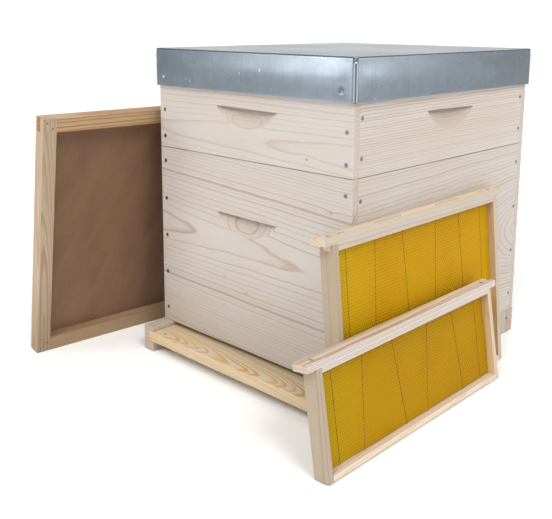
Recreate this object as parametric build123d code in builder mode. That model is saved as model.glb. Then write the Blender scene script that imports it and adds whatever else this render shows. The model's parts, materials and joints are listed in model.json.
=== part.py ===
from build123d import *
import os
from math import asin, cos, radians, sin, sqrt

# A ten-frame hive: floor, brood box, honey super and folded sheet roof. The crown board
# leans on its left side, and one brood frame and one super frame lean on its right side.
# X runs across the front to the right, Y from front to back, Z up. The origin is on the ground,
# under the middle of the boxes. Millimetres and degrees.

# Boxes
hive_width = 430.0
hive_length = 500.0
wall = 25.0
lap = 12.5  # lip of a front or back board that covers the end of a side board
brood_height = 320.0
super_height = 170.0

# Scooped hand grips: straight upper edge, round lower edge, deepest in the middle of the upper edge
grip_width = 140.0
grip_height = 33.0
grip_depth = 13.0
brood_grip_rise = 226.0  # from a box's lower edge to the grip's upper edge
super_grip_rise = 82.0

# Screws
screw_length = 42.0
screw_shank = 4.0
screw_head = 7.0
screw_head_depth = 2.5
head_proud = 0.1  # of screws and nails
fastener_sides = 6  # flat sides of screws and nails
brood_front_screws = 5  # screws in each row up a corner
brood_side_screws = 4
super_front_screws = 4
super_side_screws = 3
brood_front_margin = 25.0  # from a box's edges to the first and last screw of a row
brood_side_margin = 34.0
super_front_margin = 19.0
super_front_top_margin = 11.0  # keeps the upper screws behind the roof's skirt
super_side_margin = 27.5

# Frames
frame_thick = 25.0
lug = 10.0  # thickness of the ears that a frame hangs by
lug_seat = 10.0  # length of an ear on its rest
lug_end_gap = 2.5
bee_space = 7.5  # between a side bar and the box's end wall
top_gap = 8.0  # from the top bars to the box's upper edge
brood_frame_gap = 12.0  # from the bottom bars to the box's lower edge
super_frame_gap = 2.0
brood_top_bar = 20.0
super_top_bar = 17.0
side_bar = 10.0
bottom_bar = 8.0
prong = 6.0  # each of a side bar's two upper ends, let into the top bar
kerf_width = 8.0  # groove along a top bar's upper face
kerf_depth = 2.5
sheet = 1.5  # wax foundation
sheet_play = 0.3  # each side of it in the groove under the top bar
sheet_seat = 4.0
sheet_side_gap = 1.0
sheet_foot_gap = 4.0
brood_slots = 10
super_slots = 9

# Wire of a frame, threaded up and down through holes in the bars: evenly spaced strands, each end
# then moved outwards by its own amount
wire = 0.6
wire_hole = 2.0
wire_sides = 4  # flat sides of the wire and its holes
wire_tail = 14.0  # each end of it, along the top bar's groove
wire_inset = 27.5  # of the outermost strand from its side bar
wire_top_shifts = (0.0, 3.0, 11.0)
wire_foot_shifts = (0.0, 20.0, -10.0)

# Staples of a frame
staple_wire = 1.2
staple_crown = 10.0
staple_leg = 25.0
staple_proud = 0.3

# Notched rests for the ears
rest_sheet = 1.0
rest_skirt = 14.0
rest_tooth = 7.0
rest_notch_gap = 0.5
rest_end_gap = 0.5

# Floor
foot_height = 19.0  # under the deck
deck = 18.0
entrance_height = 8.0
runner_width = 24.5
runner_web = 12.0  # wood outside the deck's ends
porch = 46.5  # landing board in front of the boxes
rear_overhang = 2.0
rear_bar = 24.5
deck_boards = 4
tongue = 6.0

# Roof
roof_sheet_thick = 1.0
roof_play = 2.0  # between its corner ears and the box
roof_skirt = 64.0
roof_corner = 6.0
roof_edge = 2.5
corner_slot = 2.4
corner_slot_top = 8.0
ear_trim = 14.0  # of the corner ears below the top of the skirt
clinch_inset = 25.0
clinch_rise = 17.0
clinch_width = 9.0
clinch_depth = 1.6

# Crown board
crown_member = 24.0
crown_frame = 22.0
crown_panel_thick = 5.0
nail = 1.8
nail_head = 3.0
nail_head_depth = 1.0
nail_cover = 5.0  # wood behind a nail's point
nail_inset = 7.0

# Leaning pieces
lean_gap = 0.3
crown_tilt = 9.5
crown_yaw = 5.2
crown_touch = 203.5  # from the hive's back to the corner that leans on it
brood_frame_out = 29.0  # of the foot's inner edge from the box wall
brood_frame_middle = -104.0
super_frame_out = 10.0  # of its foot from the brood frame
super_frame_middle = -180.0

# Sizes that follow
floor_height = foot_height + deck + entrance_height
runner_groove = runner_width - runner_web
ear_thick = 2 * roof_sheet_thick
ear_size = roof_skirt - ear_trim
roof_overhang = roof_sheet_thick + ear_thick + roof_play
inner_width = hive_width - 2 * wall
inner_length = hive_length - 2 * wall
brood_base = floor_height
super_base = brood_base + brood_height
roof_base = super_base + super_height
frame_length = inner_length + 2 * lug_seat
frame_width = inner_length - 2 * bee_space
brood_frame_height = brood_height - top_gap - brood_frame_gap
super_frame_height = super_height - top_gap - super_frame_gap
lug_drop = top_gap + lug
deck_top = floor_height - entrance_height
floor_front = -hive_length / 2 - porch
floor_back = hive_length / 2 + rear_overhang

os.makedirs("parts", exist_ok=True)
pieces = {}


def wall_plane(side, base):
    """The outer face of a box wall: X to the right as seen from outside, Y up, Z outwards."""
    across, out = {
        "front": ((1, 0, 0), (0, -1, 0)),
        "back": ((-1, 0, 0), (0, 1, 0)),
        "left": ((0, -1, 0), (-1, 0, 0)),
        "right": ((0, 1, 0), (1, 0, 0)),
    }[side]
    foot = (out[0] * hive_width / 2, out[1] * hive_length / 2, base)
    return Plane(origin=foot, x_dir=across, z_dir=out)


def screw_rows(height, count, low, high, spread):
    """The places of two upright rows of screws on a wall plane, low and high being their margins."""
    pitch = (height - low - high) / (count - 1)
    return [
        Location((side * spread / 2, low + row * pitch, 0))
        for side in (-1, 1)
        for row in range(count)
    ]


# Hand grip cutter: a ball that stands in front of the board, kept below the grip's upper edge.
# Its origin is the middle of that edge.
grip_face_radius = ((grip_width / 2) ** 2 + grip_height**2) / (2 * grip_height)
grip_centre_rise = grip_face_radius - grip_height
grip_square = grip_face_radius**2 - grip_centre_rise**2
grip_stand_off = (grip_square / grip_depth - grip_depth) / 2
grip_ball = sqrt(grip_stand_off**2 + grip_face_radius**2)
with BuildPart() as grip_cutter:
    with Locations((0, grip_centre_rise, grip_stand_off)):
        Sphere(grip_ball)
    split(bisect_by=Plane.XZ, keep=Keep.TOP)

# Countersunk screw, its head's rim at the origin and its shank along -Z
with BuildPart() as screw:
    with BuildSketch(Plane.XY.offset(head_proud)):
        RegularPolygon(screw_head / 2, fastener_sides)
    with BuildSketch(Plane.XY.offset(-screw_head_depth)):
        RegularPolygon(screw_shank / 2, fastener_sides)
    loft()
    with BuildSketch(Plane.XY.offset(-screw_head_depth)):
        RegularPolygon(screw_shank / 2, fastener_sides)
    extrude(amount=screw_head_depth - screw_length)


# Boxes
def end_board(side, base, height, grip_rise):
    """A front or back board: rabbeted ends, a rabbet for the frames' ears and a hand grip."""
    face = wall_plane(side, base)
    with BuildPart() as board:
        with BuildSketch(face):
            with Locations((0, height / 2)):
                Rectangle(hive_width, height)
        extrude(amount=-wall)
        with BuildSketch(face.offset(-wall)):
            with Locations((0, height / 2)):
                with GridLocations(hive_width - wall, 0, 2, 1):
                    Rectangle(wall, height)
        extrude(amount=wall - lap, mode=Mode.SUBTRACT)
        with BuildSketch(face.offset(-wall)):
            with Locations((0, height - lug_drop / 2)):
                Rectangle(inner_width, lug_drop)
        extrude(amount=lug_seat + lug_end_gap, mode=Mode.SUBTRACT)
        with Locations(face * Location((0, grip_rise, 0))):
            add(grip_cutter.part, mode=Mode.SUBTRACT)
    return board.part


def side_board(side, base, height, grip_rise):
    """A left or right board: square ends between the lips of the end boards, and a hand grip."""
    face = wall_plane(side, base)
    with BuildPart() as board:
        with BuildSketch(face):
            with Locations((0, height / 2)):
                Rectangle(hive_length - 2 * lap, height)
        extrude(amount=-wall)
        with Locations(face * Location((0, grip_rise, 0))):
            add(grip_cutter.part, mode=Mode.SUBTRACT)
    return board.part


def corner_screws(base, height, front, sides):
    """All screws of a box: front and sides are each a count, a lower and an upper margin."""
    rows = {
        "front": screw_rows(height, *front, hive_width - wall),
        "left": screw_rows(height, *sides, hive_length - wall - lap),
    }
    rows["back"], rows["right"] = rows["front"], rows["left"]
    with BuildPart() as screws:
        for side, places in rows.items():
            with Locations(*[wall_plane(side, base) * place for place in places]):
                add(screw.part)
    return screws.part


def slot_places(slots):
    """The middles of a box's frames, from left to right."""
    pitch = inner_width / slots
    return [(slot - (slots - 1) / 2) * pitch for slot in range(slots)]


def frame_rest(side, base, height, slots):
    """A steel strip on the inside of an end board, with a notch for each ear."""
    level = height - lug_drop
    with BuildPart() as rest:
        with BuildSketch(wall_plane(side, base).offset(-wall)):
            with Locations((0, level - rest_skirt)):
                Rectangle(
                    inner_width - 2 * rest_end_gap,
                    rest_skirt + rest_tooth,
                    align=(Align.CENTER, Align.MIN),
                )
            with Locations(*[(place, level) for place in slot_places(slots)]):
                Rectangle(
                    frame_thick + 2 * rest_notch_gap,
                    rest_tooth,
                    align=(Align.CENTER, Align.MIN),
                    mode=Mode.SUBTRACT,
                )
        extrude(amount=-rest_sheet)
    return rest.part


# Frames, each in its own axes: X along the frame, Y through it, Z up from its foot
def make_top_bar(height, depth):
    """The bar that a frame hangs by, with ears, housings for the side bars and grooves."""
    with BuildPart() as bar:
        with BuildSketch(Plane.XZ):
            with Locations((0, height)):
                Rectangle(frame_length, lug, align=(Align.CENTER, Align.MAX))
                Rectangle(frame_width, depth, align=(Align.CENTER, Align.MAX))
        extrude(amount=frame_thick / 2, both=True)
        with BuildSketch(Plane.XY.offset(height - depth)):
            with GridLocations(frame_width - side_bar, frame_thick - prong, 2, 2):
                Rectangle(side_bar, prong)
        extrude(amount=depth - lug, mode=Mode.SUBTRACT)
        with BuildSketch(Plane.XY.offset(height - depth)):
            Rectangle(frame_width - 2 * side_bar, sheet + 2 * sheet_play)
        extrude(amount=sheet_seat, mode=Mode.SUBTRACT)
        with BuildSketch(Plane.YZ.offset(-frame_length / 2)):
            with BuildLine():
                Polyline(
                    (-kerf_width / 2, height),
                    (0, height - kerf_depth),
                    (kerf_width / 2, height),
                    close=True,
                )
            make_face()
        extrude(amount=frame_length, mode=Mode.SUBTRACT)
    return bar.part


def make_side_bar(height, depth):
    """An upright with a forked upper end that grips the top bar."""
    with BuildPart() as bar:
        with BuildSketch():
            Rectangle(side_bar, frame_thick)
        extrude(amount=height - lug)
        with BuildSketch(Plane.XY.offset(height - depth)):
            Rectangle(side_bar, frame_thick - 2 * prong)
        extrude(amount=depth - lug, mode=Mode.SUBTRACT)
    return bar.part


def make_bottom_bar():
    """The bar between the feet of the side bars."""
    with BuildPart() as bar:
        with BuildSketch():
            Rectangle(frame_width - 2 * side_bar, frame_thick)
        extrude(amount=bottom_bar)
    return bar.part


def make_foundation(height, depth):
    """A sheet of wax that hangs in the top bar's groove."""
    foot = bottom_bar + sheet_foot_gap
    with BuildPart() as wax:
        with BuildSketch(Plane.XY.offset(foot)):
            Rectangle(frame_width - 2 * side_bar - 2 * sheet_side_gap, sheet)
        extrude(amount=height - depth + sheet_seat - foot)
    return wax.part


def wire_strands(height):
    """The lower and upper end of each strand, from end to end of the frame, at the wax's outer face."""
    groove = kerf_depth * (1 - sheet / kerf_width)
    outermost = frame_width / 2 - side_bar - wire_inset
    pitch = 2 * outermost / (2 * len(wire_top_shifts) - 1)
    spreads = [
        (outermost - turn * pitch + foot, outermost - turn * pitch + top)
        for turn, (foot, top) in enumerate(zip(wire_foot_shifts, wire_top_shifts))
    ]
    mirrored = [(-foot, -top) for foot, top in spreads]
    return [
        (Vector(foot, -sheet / 2, 0), Vector(top, -sheet / 2, height - groove))
        for foot, top in mirrored + spreads[::-1]
    ]


def make_wire(height):
    """One wire, half sunk in the wax, in the top bar's groove and in the bottom bar's lower face."""
    strands = wire_strands(height)
    tail = Vector(wire_tail, 0, 0)
    route = [strands[0][1] - tail]
    for turn, (foot, top) in enumerate(strands):
        route += [foot, top] if turn % 2 else [top, foot]
    route.append(strands[-1][1] + tail)
    with BuildPart() as threaded:
        with BuildLine():
            Polyline(*route)
        with BuildSketch(Plane(origin=route[0], x_dir=(0, 1, 0), z_dir=(1, 0, 0))):
            RegularPolygon(wire / 2, wire_sides)
        sweep(transition=Transition.RIGHT)
    return threaded.part


def make_wire_holes(height):
    """Cutters along the strands, a little longer than these."""
    with BuildPart() as holes:
        for foot, top in wire_strands(height):
            strand = top - foot
            start = foot - strand.normalized() * wire_hole
            with BuildSketch(Plane(origin=start, x_dir=(0, 1, 0), z_dir=strand)):
                RegularPolygon(wire_hole / 2, wire_sides)
            extrude(amount=strand.length + 2 * wire_hole)
    return holes.part


def drilled(bar, holes):
    """A bar with the holes that the wire is threaded through."""
    with BuildPart() as threaded_bar:
        add(bar)
        add(holes, mode=Mode.SUBTRACT)
    return threaded_bar.part


def make_staples(height):
    """One staple down each end of the top bar, and one through each side bar into the bottom bar."""
    with BuildPart() as staple:
        with BuildSketch(Plane.YZ):
            with Locations((0, staple_proud)):
                Rectangle(staple_crown, staple_leg, align=(Align.CENTER, Align.MAX))
                with Locations((0, -staple_wire)):
                    Rectangle(
                        staple_crown - 2 * staple_wire,
                        staple_leg - staple_wire,
                        align=(Align.CENTER, Align.MAX),
                        mode=Mode.SUBTRACT,
                    )
        extrude(amount=staple_wire / 2, both=True)
    upper = (frame_width - side_bar) / 2
    with BuildPart() as staples:
        with Locations((-upper, 0, height), (upper, 0, height)):
            add(staple.part)
        with Locations(
            Location((-frame_width / 2, 0, bottom_bar / 2), (0, -90, 0)),
            Location((frame_width / 2, 0, bottom_bar / 2), (0, 90, 0)),
        ):
            add(staple.part)
    return staples.part


def hung(base, slots, gap):
    """Where the frames of a box hang: its last slot is empty."""
    return [
        Plane(origin=(place, 0, base + gap), x_dir=(0, 1, 0), z_dir=(0, 0, 1)).location
        for place in slot_places(slots)[:-1]
    ]


def copies(piece, places):
    """One node of like solids."""
    with BuildPart() as group:
        with Locations(*places):
            add(piece)
    return group.part


side_bar_places = [Location((half * (frame_width - side_bar) / 2, 0, 0)) for half in (-1, 1)]


def add_box(box, base, height, grip_rise, front, sides, slots, gap, depth):
    """A box with its boards, screws, rests and hanging frames."""
    for side in ("front", "back"):
        pieces[f"{box}_{side}_board"] = end_board(side, base, height, grip_rise)
        pieces[f"{box}_rest_{side}"] = frame_rest(side, base, height, slots)
    for side in ("left", "right"):
        pieces[f"{box}_{side}_board"] = side_board(side, base, height, grip_rise)
    pieces[f"{box}_screws"] = corner_screws(base, height, front, sides)
    frame_height = height - top_gap - gap
    places = hung(base, slots, gap)
    pairs = [place * upright for place in places for upright in side_bar_places]
    pieces[f"{box}_top_bars"] = copies(make_top_bar(frame_height, depth), places)
    pieces[f"{box}_side_bars"] = copies(make_side_bar(frame_height, depth), pairs)
    pieces[f"{box}_bottom_bars"] = copies(make_bottom_bar(), places)
    pieces[f"{box}_foundations"] = copies(make_foundation(frame_height, depth), places)


def add_leaning_frame(name, height, depth, place):
    """A frame that stands outside the hive, each piece in its own node."""
    holes = make_wire_holes(height)
    pieces[f"{name}_top_bar"] = copies(drilled(make_top_bar(height, depth), holes), [place])
    for end, upright in zip(("near", "far"), side_bar_places):
        bar = make_side_bar(height, depth)
        pieces[f"{name}_side_bar_{end}"] = copies(bar, [place * upright])
    pieces[f"{name}_bottom_bar"] = copies(drilled(make_bottom_bar(), holes), [place])
    pieces[f"{name}_foundation"] = copies(make_foundation(height, depth), [place])
    pieces[f"{name}_wires"] = copies(make_wire(height), [place])
    pieces[f"{name}_staples"] = copies(make_staples(height), [place])


def leaning_place(foot, middle, tilt):
    """A frame that stands on its inner lower edge and leans towards the hive, tilt in radians."""
    origin = (foot + frame_thick / 2 * cos(tilt), middle, frame_thick / 2 * sin(tilt))
    return Plane(origin=origin, x_dir=(0, 1, 0), z_dir=(-sin(tilt), 0, cos(tilt))).location


# Floor: two grooved runners, a tongued deck let into them, and two bars across the back
runner_length = floor_back - rear_bar - floor_front
runner_middle = hive_width / 2 - runner_width / 2
for half, side in ((-1, "left"), (1, "right")):
    with BuildPart() as runner:
        with BuildSketch(Plane.XZ.offset(-floor_front)):
            with Locations((half * runner_middle, 0)):
                Rectangle(runner_width, floor_height, align=(Align.CENTER, Align.MIN))
            with Locations((half * (hive_width - 2 * runner_width + runner_groove) / 2, foot_height)):
                Rectangle(
                    runner_groove, deck, align=(Align.CENTER, Align.MIN), mode=Mode.SUBTRACT
                )
        extrude(amount=-runner_length)
    pieces[f"floor_runner_{side}"] = runner.part

deck_width = hive_width - 2 * runner_width + 2 * runner_groove
deck_board = runner_length / deck_boards
tongue_low = foot_height + (deck - tongue) / 2
for place in range(deck_boards):
    front_edge = floor_front + place * deck_board
    with BuildPart() as board:
        with BuildSketch(Plane.YZ.offset(-deck_width / 2)):
            with Locations((front_edge, foot_height)):
                Rectangle(deck_board, deck, align=Align.MIN)
            with Locations((front_edge + deck_board, tongue_low)):
                Rectangle(tongue, tongue, align=Align.MIN)
            if place > 0:
                with Locations((front_edge, tongue_low)):
                    Rectangle(tongue, tongue, align=Align.MIN, mode=Mode.SUBTRACT)
        extrude(amount=deck_width)
    pieces["landing_board" if place == 0 else f"floor_board_{place}"] = board.part

with BuildPart() as rear_closer:
    with BuildSketch(Plane.YZ.offset(-hive_width / 2)):
        with Locations((floor_back - rear_bar, foot_height)):
            Rectangle(rear_bar, floor_height - foot_height, align=Align.MIN)
        with Locations((floor_back - rear_bar, tongue_low)):
            Rectangle(tongue, tongue, align=Align.MIN, mode=Mode.SUBTRACT)
    extrude(amount=hive_width)
pieces["floor_rear_bar"] = rear_closer.part

with BuildPart() as rear_foot:
    with BuildSketch(Plane.YZ.offset(-hive_width / 2)):
        with Locations((floor_back - rear_bar, 0)):
            Rectangle(rear_bar, foot_height, align=Align.MIN)
    extrude(amount=hive_width)
pieces["floor_rear_foot"] = rear_foot.part

rear_plane = Plane(origin=(0, floor_back, 0), x_dir=(-1, 0, 0), z_dir=(0, 1, 0))
screw_line = (hive_width - runner_width + runner_groove) / 2
with BuildPart() as floor_screws:
    with Locations(
        *[
            rear_plane * Location((half * screw_line, rise, 0))
            for half in (-1, 1)
            for rise in (foot_height / 2, (floor_height + foot_height) / 2)
        ]
    ):
        add(screw.part)
pieces["floor_screws"] = floor_screws.part

# Boxes with their frames
add_box(
    "brood",
    brood_base,
    brood_height,
    brood_grip_rise,
    (brood_front_screws, brood_front_margin, brood_front_margin),
    (brood_side_screws, brood_side_margin, brood_side_margin),
    brood_slots,
    brood_frame_gap,
    brood_top_bar,
)
add_box(
    "super",
    super_base,
    super_height,
    super_grip_rise,
    (super_front_screws, super_front_margin, super_front_top_margin),
    (super_side_screws, super_side_margin, super_side_margin),
    super_slots,
    super_frame_gap,
    super_top_bar,
)

# Roof: a tray folded from one sheet. At each corner the spare sheet is a doubled, three-cornered
# ear inside the front or back skirt, held by a clinch dimple, and a slot shows where it turns in.
# One quarter is shaped and mirrored.
roof_top = roof_base + roof_sheet_thick
roof_low = roof_top - roof_skirt
roof_width = hive_width + 2 * roof_overhang
roof_length = hive_length + 2 * roof_overhang
corner_x = roof_width / 2 - roof_corner
corner_y = roof_length / 2 - roof_corner
clinch_ball = ((clinch_width / 2) ** 2 + clinch_depth**2) / (2 * clinch_depth)
with BuildPart() as roof:
    with BuildSketch(Plane.XY.offset(roof_low)):
        RectangleRounded(roof_width, roof_length, roof_corner)
    extrude(amount=roof_skirt)
    fillet(roof.faces().sort_by(Axis.Z)[-1].edges(), radius=roof_edge)
    offset(amount=-roof_sheet_thick, openings=roof.faces().sort_by(Axis.Z)[0])
    split(bisect_by=Plane.XZ, keep=Keep.BOTTOM)
    split(bisect_by=Plane.YZ, keep=Keep.TOP)
    with BuildSketch(Plane.XZ.offset(roof_sheet_thick - roof_length / 2)):
        with BuildLine():
            Polyline(
                (corner_x, roof_low),
                (corner_x - ear_size, roof_low),
                (corner_x, roof_low + ear_size),
                close=True,
            )
        make_face()
    extrude(amount=ear_thick)
    with Locations(
        (
            roof_width / 2 - clinch_inset,
            roof_length / 2 - clinch_depth + clinch_ball,
            roof_low + clinch_rise,
        )
    ):
        Sphere(clinch_ball, mode=Mode.SUBTRACT)
    with BuildSketch(Plane((corner_x, corner_y, roof_low), x_dir=(-1, 1, 0), z_dir=(1, 1, 0))):
        slot_height = roof_skirt - corner_slot_top - corner_slot / 2
        Rectangle(corner_slot, slot_height, align=(Align.CENTER, Align.MIN))
        with Locations((0, slot_height)):
            Circle(corner_slot / 2)
    extrude(amount=2 * roof_corner, mode=Mode.SUBTRACT)
    mirror(about=Plane.YZ)
    mirror(about=Plane.XZ)
pieces["roof_sheet"] = roof.part

# Crown board: a frame of half-lapped members with a plywood panel nailed on its back. It stands on
# its long edge, its open face towards the hive, and one upper corner rests against the left wall.
crown_length = hive_length
crown_height = hive_width
turn, tilt = radians(crown_yaw), radians(crown_tilt)
crown_reach = crown_length * sin(turn) + crown_height * sin(tilt) * cos(turn)
crown_depth = crown_length * cos(turn) - crown_height * sin(tilt) * sin(turn)
crown_face = Plane(
    origin=(
        -hive_width / 2 - lean_gap - crown_reach,
        hive_length / 2 - crown_touch - crown_depth,
        0,
    ),
    x_dir=(sin(turn), cos(turn), 0),
    z_dir=(cos(tilt) * cos(turn), -cos(tilt) * sin(turn), -sin(tilt)),
)
crown_middle = (crown_length / 2, crown_height / 2)
stile_spread = (crown_length - crown_member) / 2
rail_spread = (crown_height - crown_member) / 2
half_lap = crown_frame / 2

with BuildPart() as crown_panel:
    with BuildSketch(crown_face.offset(-crown_frame)):
        with Locations(crown_middle):
            Rectangle(crown_length, crown_height)
    extrude(amount=-crown_panel_thick)
pieces["crown_panel"] = crown_panel.part

for half, end in ((-1, "near"), (1, "far")):
    with BuildPart() as stile:
        with BuildSketch(crown_face):
            with Locations((crown_middle[0] + half * stile_spread, crown_middle[1])):
                Rectangle(crown_member, crown_height)
        extrude(amount=-crown_frame)
        with BuildSketch(crown_face.offset(-half_lap)):
            with Locations((crown_middle[0] + half * stile_spread, crown_middle[1])):
                with GridLocations(0, 2 * rail_spread, 1, 2):
                    Rectangle(crown_member, crown_member)
        extrude(amount=-half_lap, mode=Mode.SUBTRACT)
    pieces[f"crown_stile_{end}"] = stile.part

for half, end in ((-1, "bottom"), (1, "top")):
    with BuildPart() as rail:
        with BuildSketch(crown_face):
            with Locations((crown_middle[0], crown_middle[1] + half * rail_spread)):
                Rectangle(crown_length, crown_member)
        extrude(amount=-crown_frame)
        with BuildSketch(crown_face):
            with Locations((crown_middle[0], crown_middle[1] + half * rail_spread)):
                with GridLocations(2 * stile_spread, 0, 2, 1):
                    Rectangle(crown_member, crown_member)
        extrude(amount=-half_lap, mode=Mode.SUBTRACT)
    pieces[f"crown_rail_{end}"] = rail.part

with BuildPart() as crown_nail:
    with BuildSketch(Plane.XY.offset(head_proud)):
        RegularPolygon(nail_head / 2, fastener_sides)
    extrude(amount=-nail_head_depth)
    with BuildSketch(Plane.XY.offset(head_proud - nail_head_depth)):
        RegularPolygon(nail / 2, fastener_sides)
    extrude(amount=nail_cover - crown_frame)
pieces["crown_nails"] = copies(
    crown_nail.part,
    [
        crown_face
        * Location(
            (
                crown_middle[0] + across * stile_spread + step,
                crown_middle[1] + upright * rail_spread + across * upright * step,
                0,
            )
        )
        for across in (-1, 1)
        for upright in (-1, 1)
        for step in (nail_inset - crown_member / 2, crown_member / 2 - nail_inset)
    ],
)

# Frames outside the hive: the brood frame leans on the right wall, the super frame on it
brood_foot = hive_width / 2 + brood_frame_out
brood_tilt = asin((brood_frame_out - lean_gap) / brood_frame_height)
super_foot = brood_foot + (frame_thick + lean_gap + super_frame_out) / cos(brood_tilt)
super_tilt = brood_tilt + asin(super_frame_out / super_frame_height)
add_leaning_frame(
    "brood_frame",
    brood_frame_height,
    brood_top_bar,
    leaning_place(brood_foot, brood_frame_middle, brood_tilt),
)
add_leaning_frame(
    "super_frame",
    super_frame_height,
    super_top_bar,
    leaning_place(super_foot, super_frame_middle, super_tilt),
)

for name, piece in pieces.items():
    piece.label = name
    export_step(piece, f"parts/{name}.step")
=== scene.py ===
import json
from collections import namedtuple
from math import cos, pi, radians, sin, sqrt
from typing import NamedTuple

import bmesh
import bpy
import numpy as np
from bpy.props import FloatProperty, FloatVectorProperty, PointerProperty
from mathutils import Matrix, Vector, noise


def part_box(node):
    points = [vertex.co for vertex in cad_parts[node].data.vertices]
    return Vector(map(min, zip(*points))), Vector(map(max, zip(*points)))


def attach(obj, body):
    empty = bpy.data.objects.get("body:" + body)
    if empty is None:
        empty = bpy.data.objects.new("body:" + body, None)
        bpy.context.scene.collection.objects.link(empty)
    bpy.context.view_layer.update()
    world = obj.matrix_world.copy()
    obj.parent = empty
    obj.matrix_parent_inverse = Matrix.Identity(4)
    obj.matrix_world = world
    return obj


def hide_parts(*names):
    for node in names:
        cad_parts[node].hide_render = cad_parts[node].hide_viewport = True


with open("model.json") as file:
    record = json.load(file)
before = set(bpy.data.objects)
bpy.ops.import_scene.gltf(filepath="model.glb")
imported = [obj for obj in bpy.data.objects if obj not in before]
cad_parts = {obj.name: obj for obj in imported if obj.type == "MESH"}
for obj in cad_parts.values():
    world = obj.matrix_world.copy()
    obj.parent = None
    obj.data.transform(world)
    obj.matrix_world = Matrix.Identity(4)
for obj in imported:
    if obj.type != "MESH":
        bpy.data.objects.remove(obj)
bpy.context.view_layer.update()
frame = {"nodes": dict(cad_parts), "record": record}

bl_info = {
    "name": "Ten-frame hive finishes",
    "version": (1, 0, 0),
    "blender": (4, 5, 0),
    "location": "3D View > Sidebar > Hive",
    "description": "Wood, wax, sheet steel and studio for a ten-frame beehive",
    "category": "Object",
}

MM = 0.001
nodes = frame["nodes"]
bodies = frame["record"]["behaviour"]["bodies"]
body_of = {node: body for body, members in bodies.items() for node in members}


# Settings that a user would change

def colour(name, description, default):
    return FloatVectorProperty(
        name=name, description=description, default=default, size=3, min=0, max=1, subtype="COLOR"
    )


def length(name, description, millimetres):
    default = millimetres * MM
    return FloatProperty(
        name=name, description=description, default=default, min=0, subtype="DISTANCE", unit="LENGTH"
    )


def lengths(name, description, *millimetres):
    default = [each * MM for each in millimetres]
    return FloatVectorProperty(
        name=name, description=description, default=default, size=len(default), unit="LENGTH"
    )


def amount(name, description, default, unit="NONE"):
    return FloatProperty(name=name, description=description, default=default, min=0, unit=unit)


def angle(name, description, degrees):
    default = radians(degrees)
    return FloatProperty(
        name=name, description=description, default=default, subtype="ANGLE", unit="ROTATION"
    )


class HiveWood(bpy.types.PropertyGroup):
    box_pale: colour("Box early wood", "Spring growth of the box boards", (0.535, 0.490, 0.455))
    box_line: colour("Box late wood", "Thin summer lines of the box boards", (0.37, 0.26, 0.20))
    deck_pale: colour("Deck early wood", "Spring growth of the floor's boards", (0.57, 0.495, 0.37))
    runner_pale: colour("Runner wood", "Spring wood of the runners and rear bars", (0.43, 0.378, 0.315))
    deck_line: colour("Deck late wood", "Resinous summer lines of the floor's boards", (0.50, 0.29, 0.10))
    frame_pale: colour("Frame early wood", "Spring growth of the frames' bars", (0.52, 0.443, 0.362))
    frame_line: colour("Frame late wood", "Summer lines of the frames' bars", (0.385, 0.25, 0.16))
    crown_pale: colour("Crown early wood", "Spring growth of the crown board's frame", (0.49, 0.40, 0.29))
    crown_line: colour("Crown late wood", "Summer lines of the crown board's frame", (0.36, 0.20, 0.10))
    panel: colour("Plywood", "Face veneer of the crown board's panel", (0.215, 0.118, 0.066))
    panel_dark: colour("Plywood stain", "Darker streaks of the face veneer", (0.176, 0.093, 0.054))
    ply_dark: colour("Dark plies", "End grain along the panel's edges", (0.36, 0.22, 0.12))
    ply_pale: colour("Pale plies", "Long grain along the panel's edges", (0.50, 0.36, 0.22))
    board_edge: length("Board edge", "Rounding along the edges of the boards", 1.1)
    bar_edge: length("Bar edge", "Rounding along the edges of the frames' bars", 0.4)


class HiveMetal(bpy.types.PropertyGroup):
    zinc: colour("Zinc", "Galvanised sheet of the roof", (0.176, 0.208, 0.238))
    zinc_dark: colour("Dull zinc", "Darker patches of the roof", (0.142, 0.164, 0.186))
    scuff: colour("Scuffs", "Pale spots where the roof was knocked", (0.80, 0.83, 0.85))
    # Bright edges of the sheet: partly wear, partly painted highlight
    rubbed: colour("Rubbed edges", "Bright edges of the roof's sheet", (0.62, 0.67, 0.72))
    steel: colour("Steel", "Staples and rests", (0.42, 0.43, 0.45))
    screw: colour("Screw heads", "Passivated screws", (0.36, 0.38, 0.43))
    nail: colour("Nail heads", "Bright nails, a little tarnished", (0.23, 0.22, 0.22))
    # The wire's own dull colour, darkened further as painted shade of its bed in the wax
    wire_tone: colour("Wire tone", "Dull, waxed wire", (0.10, 0.085, 0.06))
    sheet_wave: length("Sheet wave", "How far the roof's sheet is out of true", 1.1)
    screw_head: length("Screw head", "Radius of a screw's head", 3.1)
    screw_shank: length("Screw shank", "Radius of a screw's shank", 2.0)
    nail_head: length("Nail head", "Radius of a nail's head", 1.5)
    nail_shank: length("Nail shank", "Radius of a nail's shank", 0.9)
    wire: length("Wire", "Diameter of the frames' wire", 0.6)
    wire_feet: lengths("Wire feet", "Strands from the frame's middle at the bottom bar", 180, 128, 26)
    wire_tops: lengths("Wire tops", "Strands from the frame's middle at the top bar", 180, 111, 47)


class HiveWax(bpy.types.PropertyGroup):
    wax: colour("Wax", "Pressed foundation", (0.44, 0.228, 0.0015))
    # Painted highlight on the cells' ridges
    wax_ridge_highlight: colour("Light wax", "Rubbed ridges of the cells", (0.485, 0.275, 0.005))
    wax_deep: colour("Deep wax", "Cloudy, deeper patches of the sheet", (0.395, 0.188, 0.001))
    # Darker line along a wire: partly melted wax, partly painted shadow of the wire
    wire_mark: colour("Wire mark", "Wax melted along a wire", (0.22, 0.12, 0.012))
    cell: length("Cell", "Across the flats of a pressed cell", 5.3)
    hollow: length("Hollow", "Depth of a cell's middle below the sheet's face", 0.3)
    ridge: length("Ridge", "Height of a cell's upper corners above the sheet's face", 0.16)
    edge_wave: length("Edge wave", "Unevenness of the sheet's lower edge", 1.2)
    slip: length("Slip", "How far a sheet has slipped down towards the bottom bar", 3.2)


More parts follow.
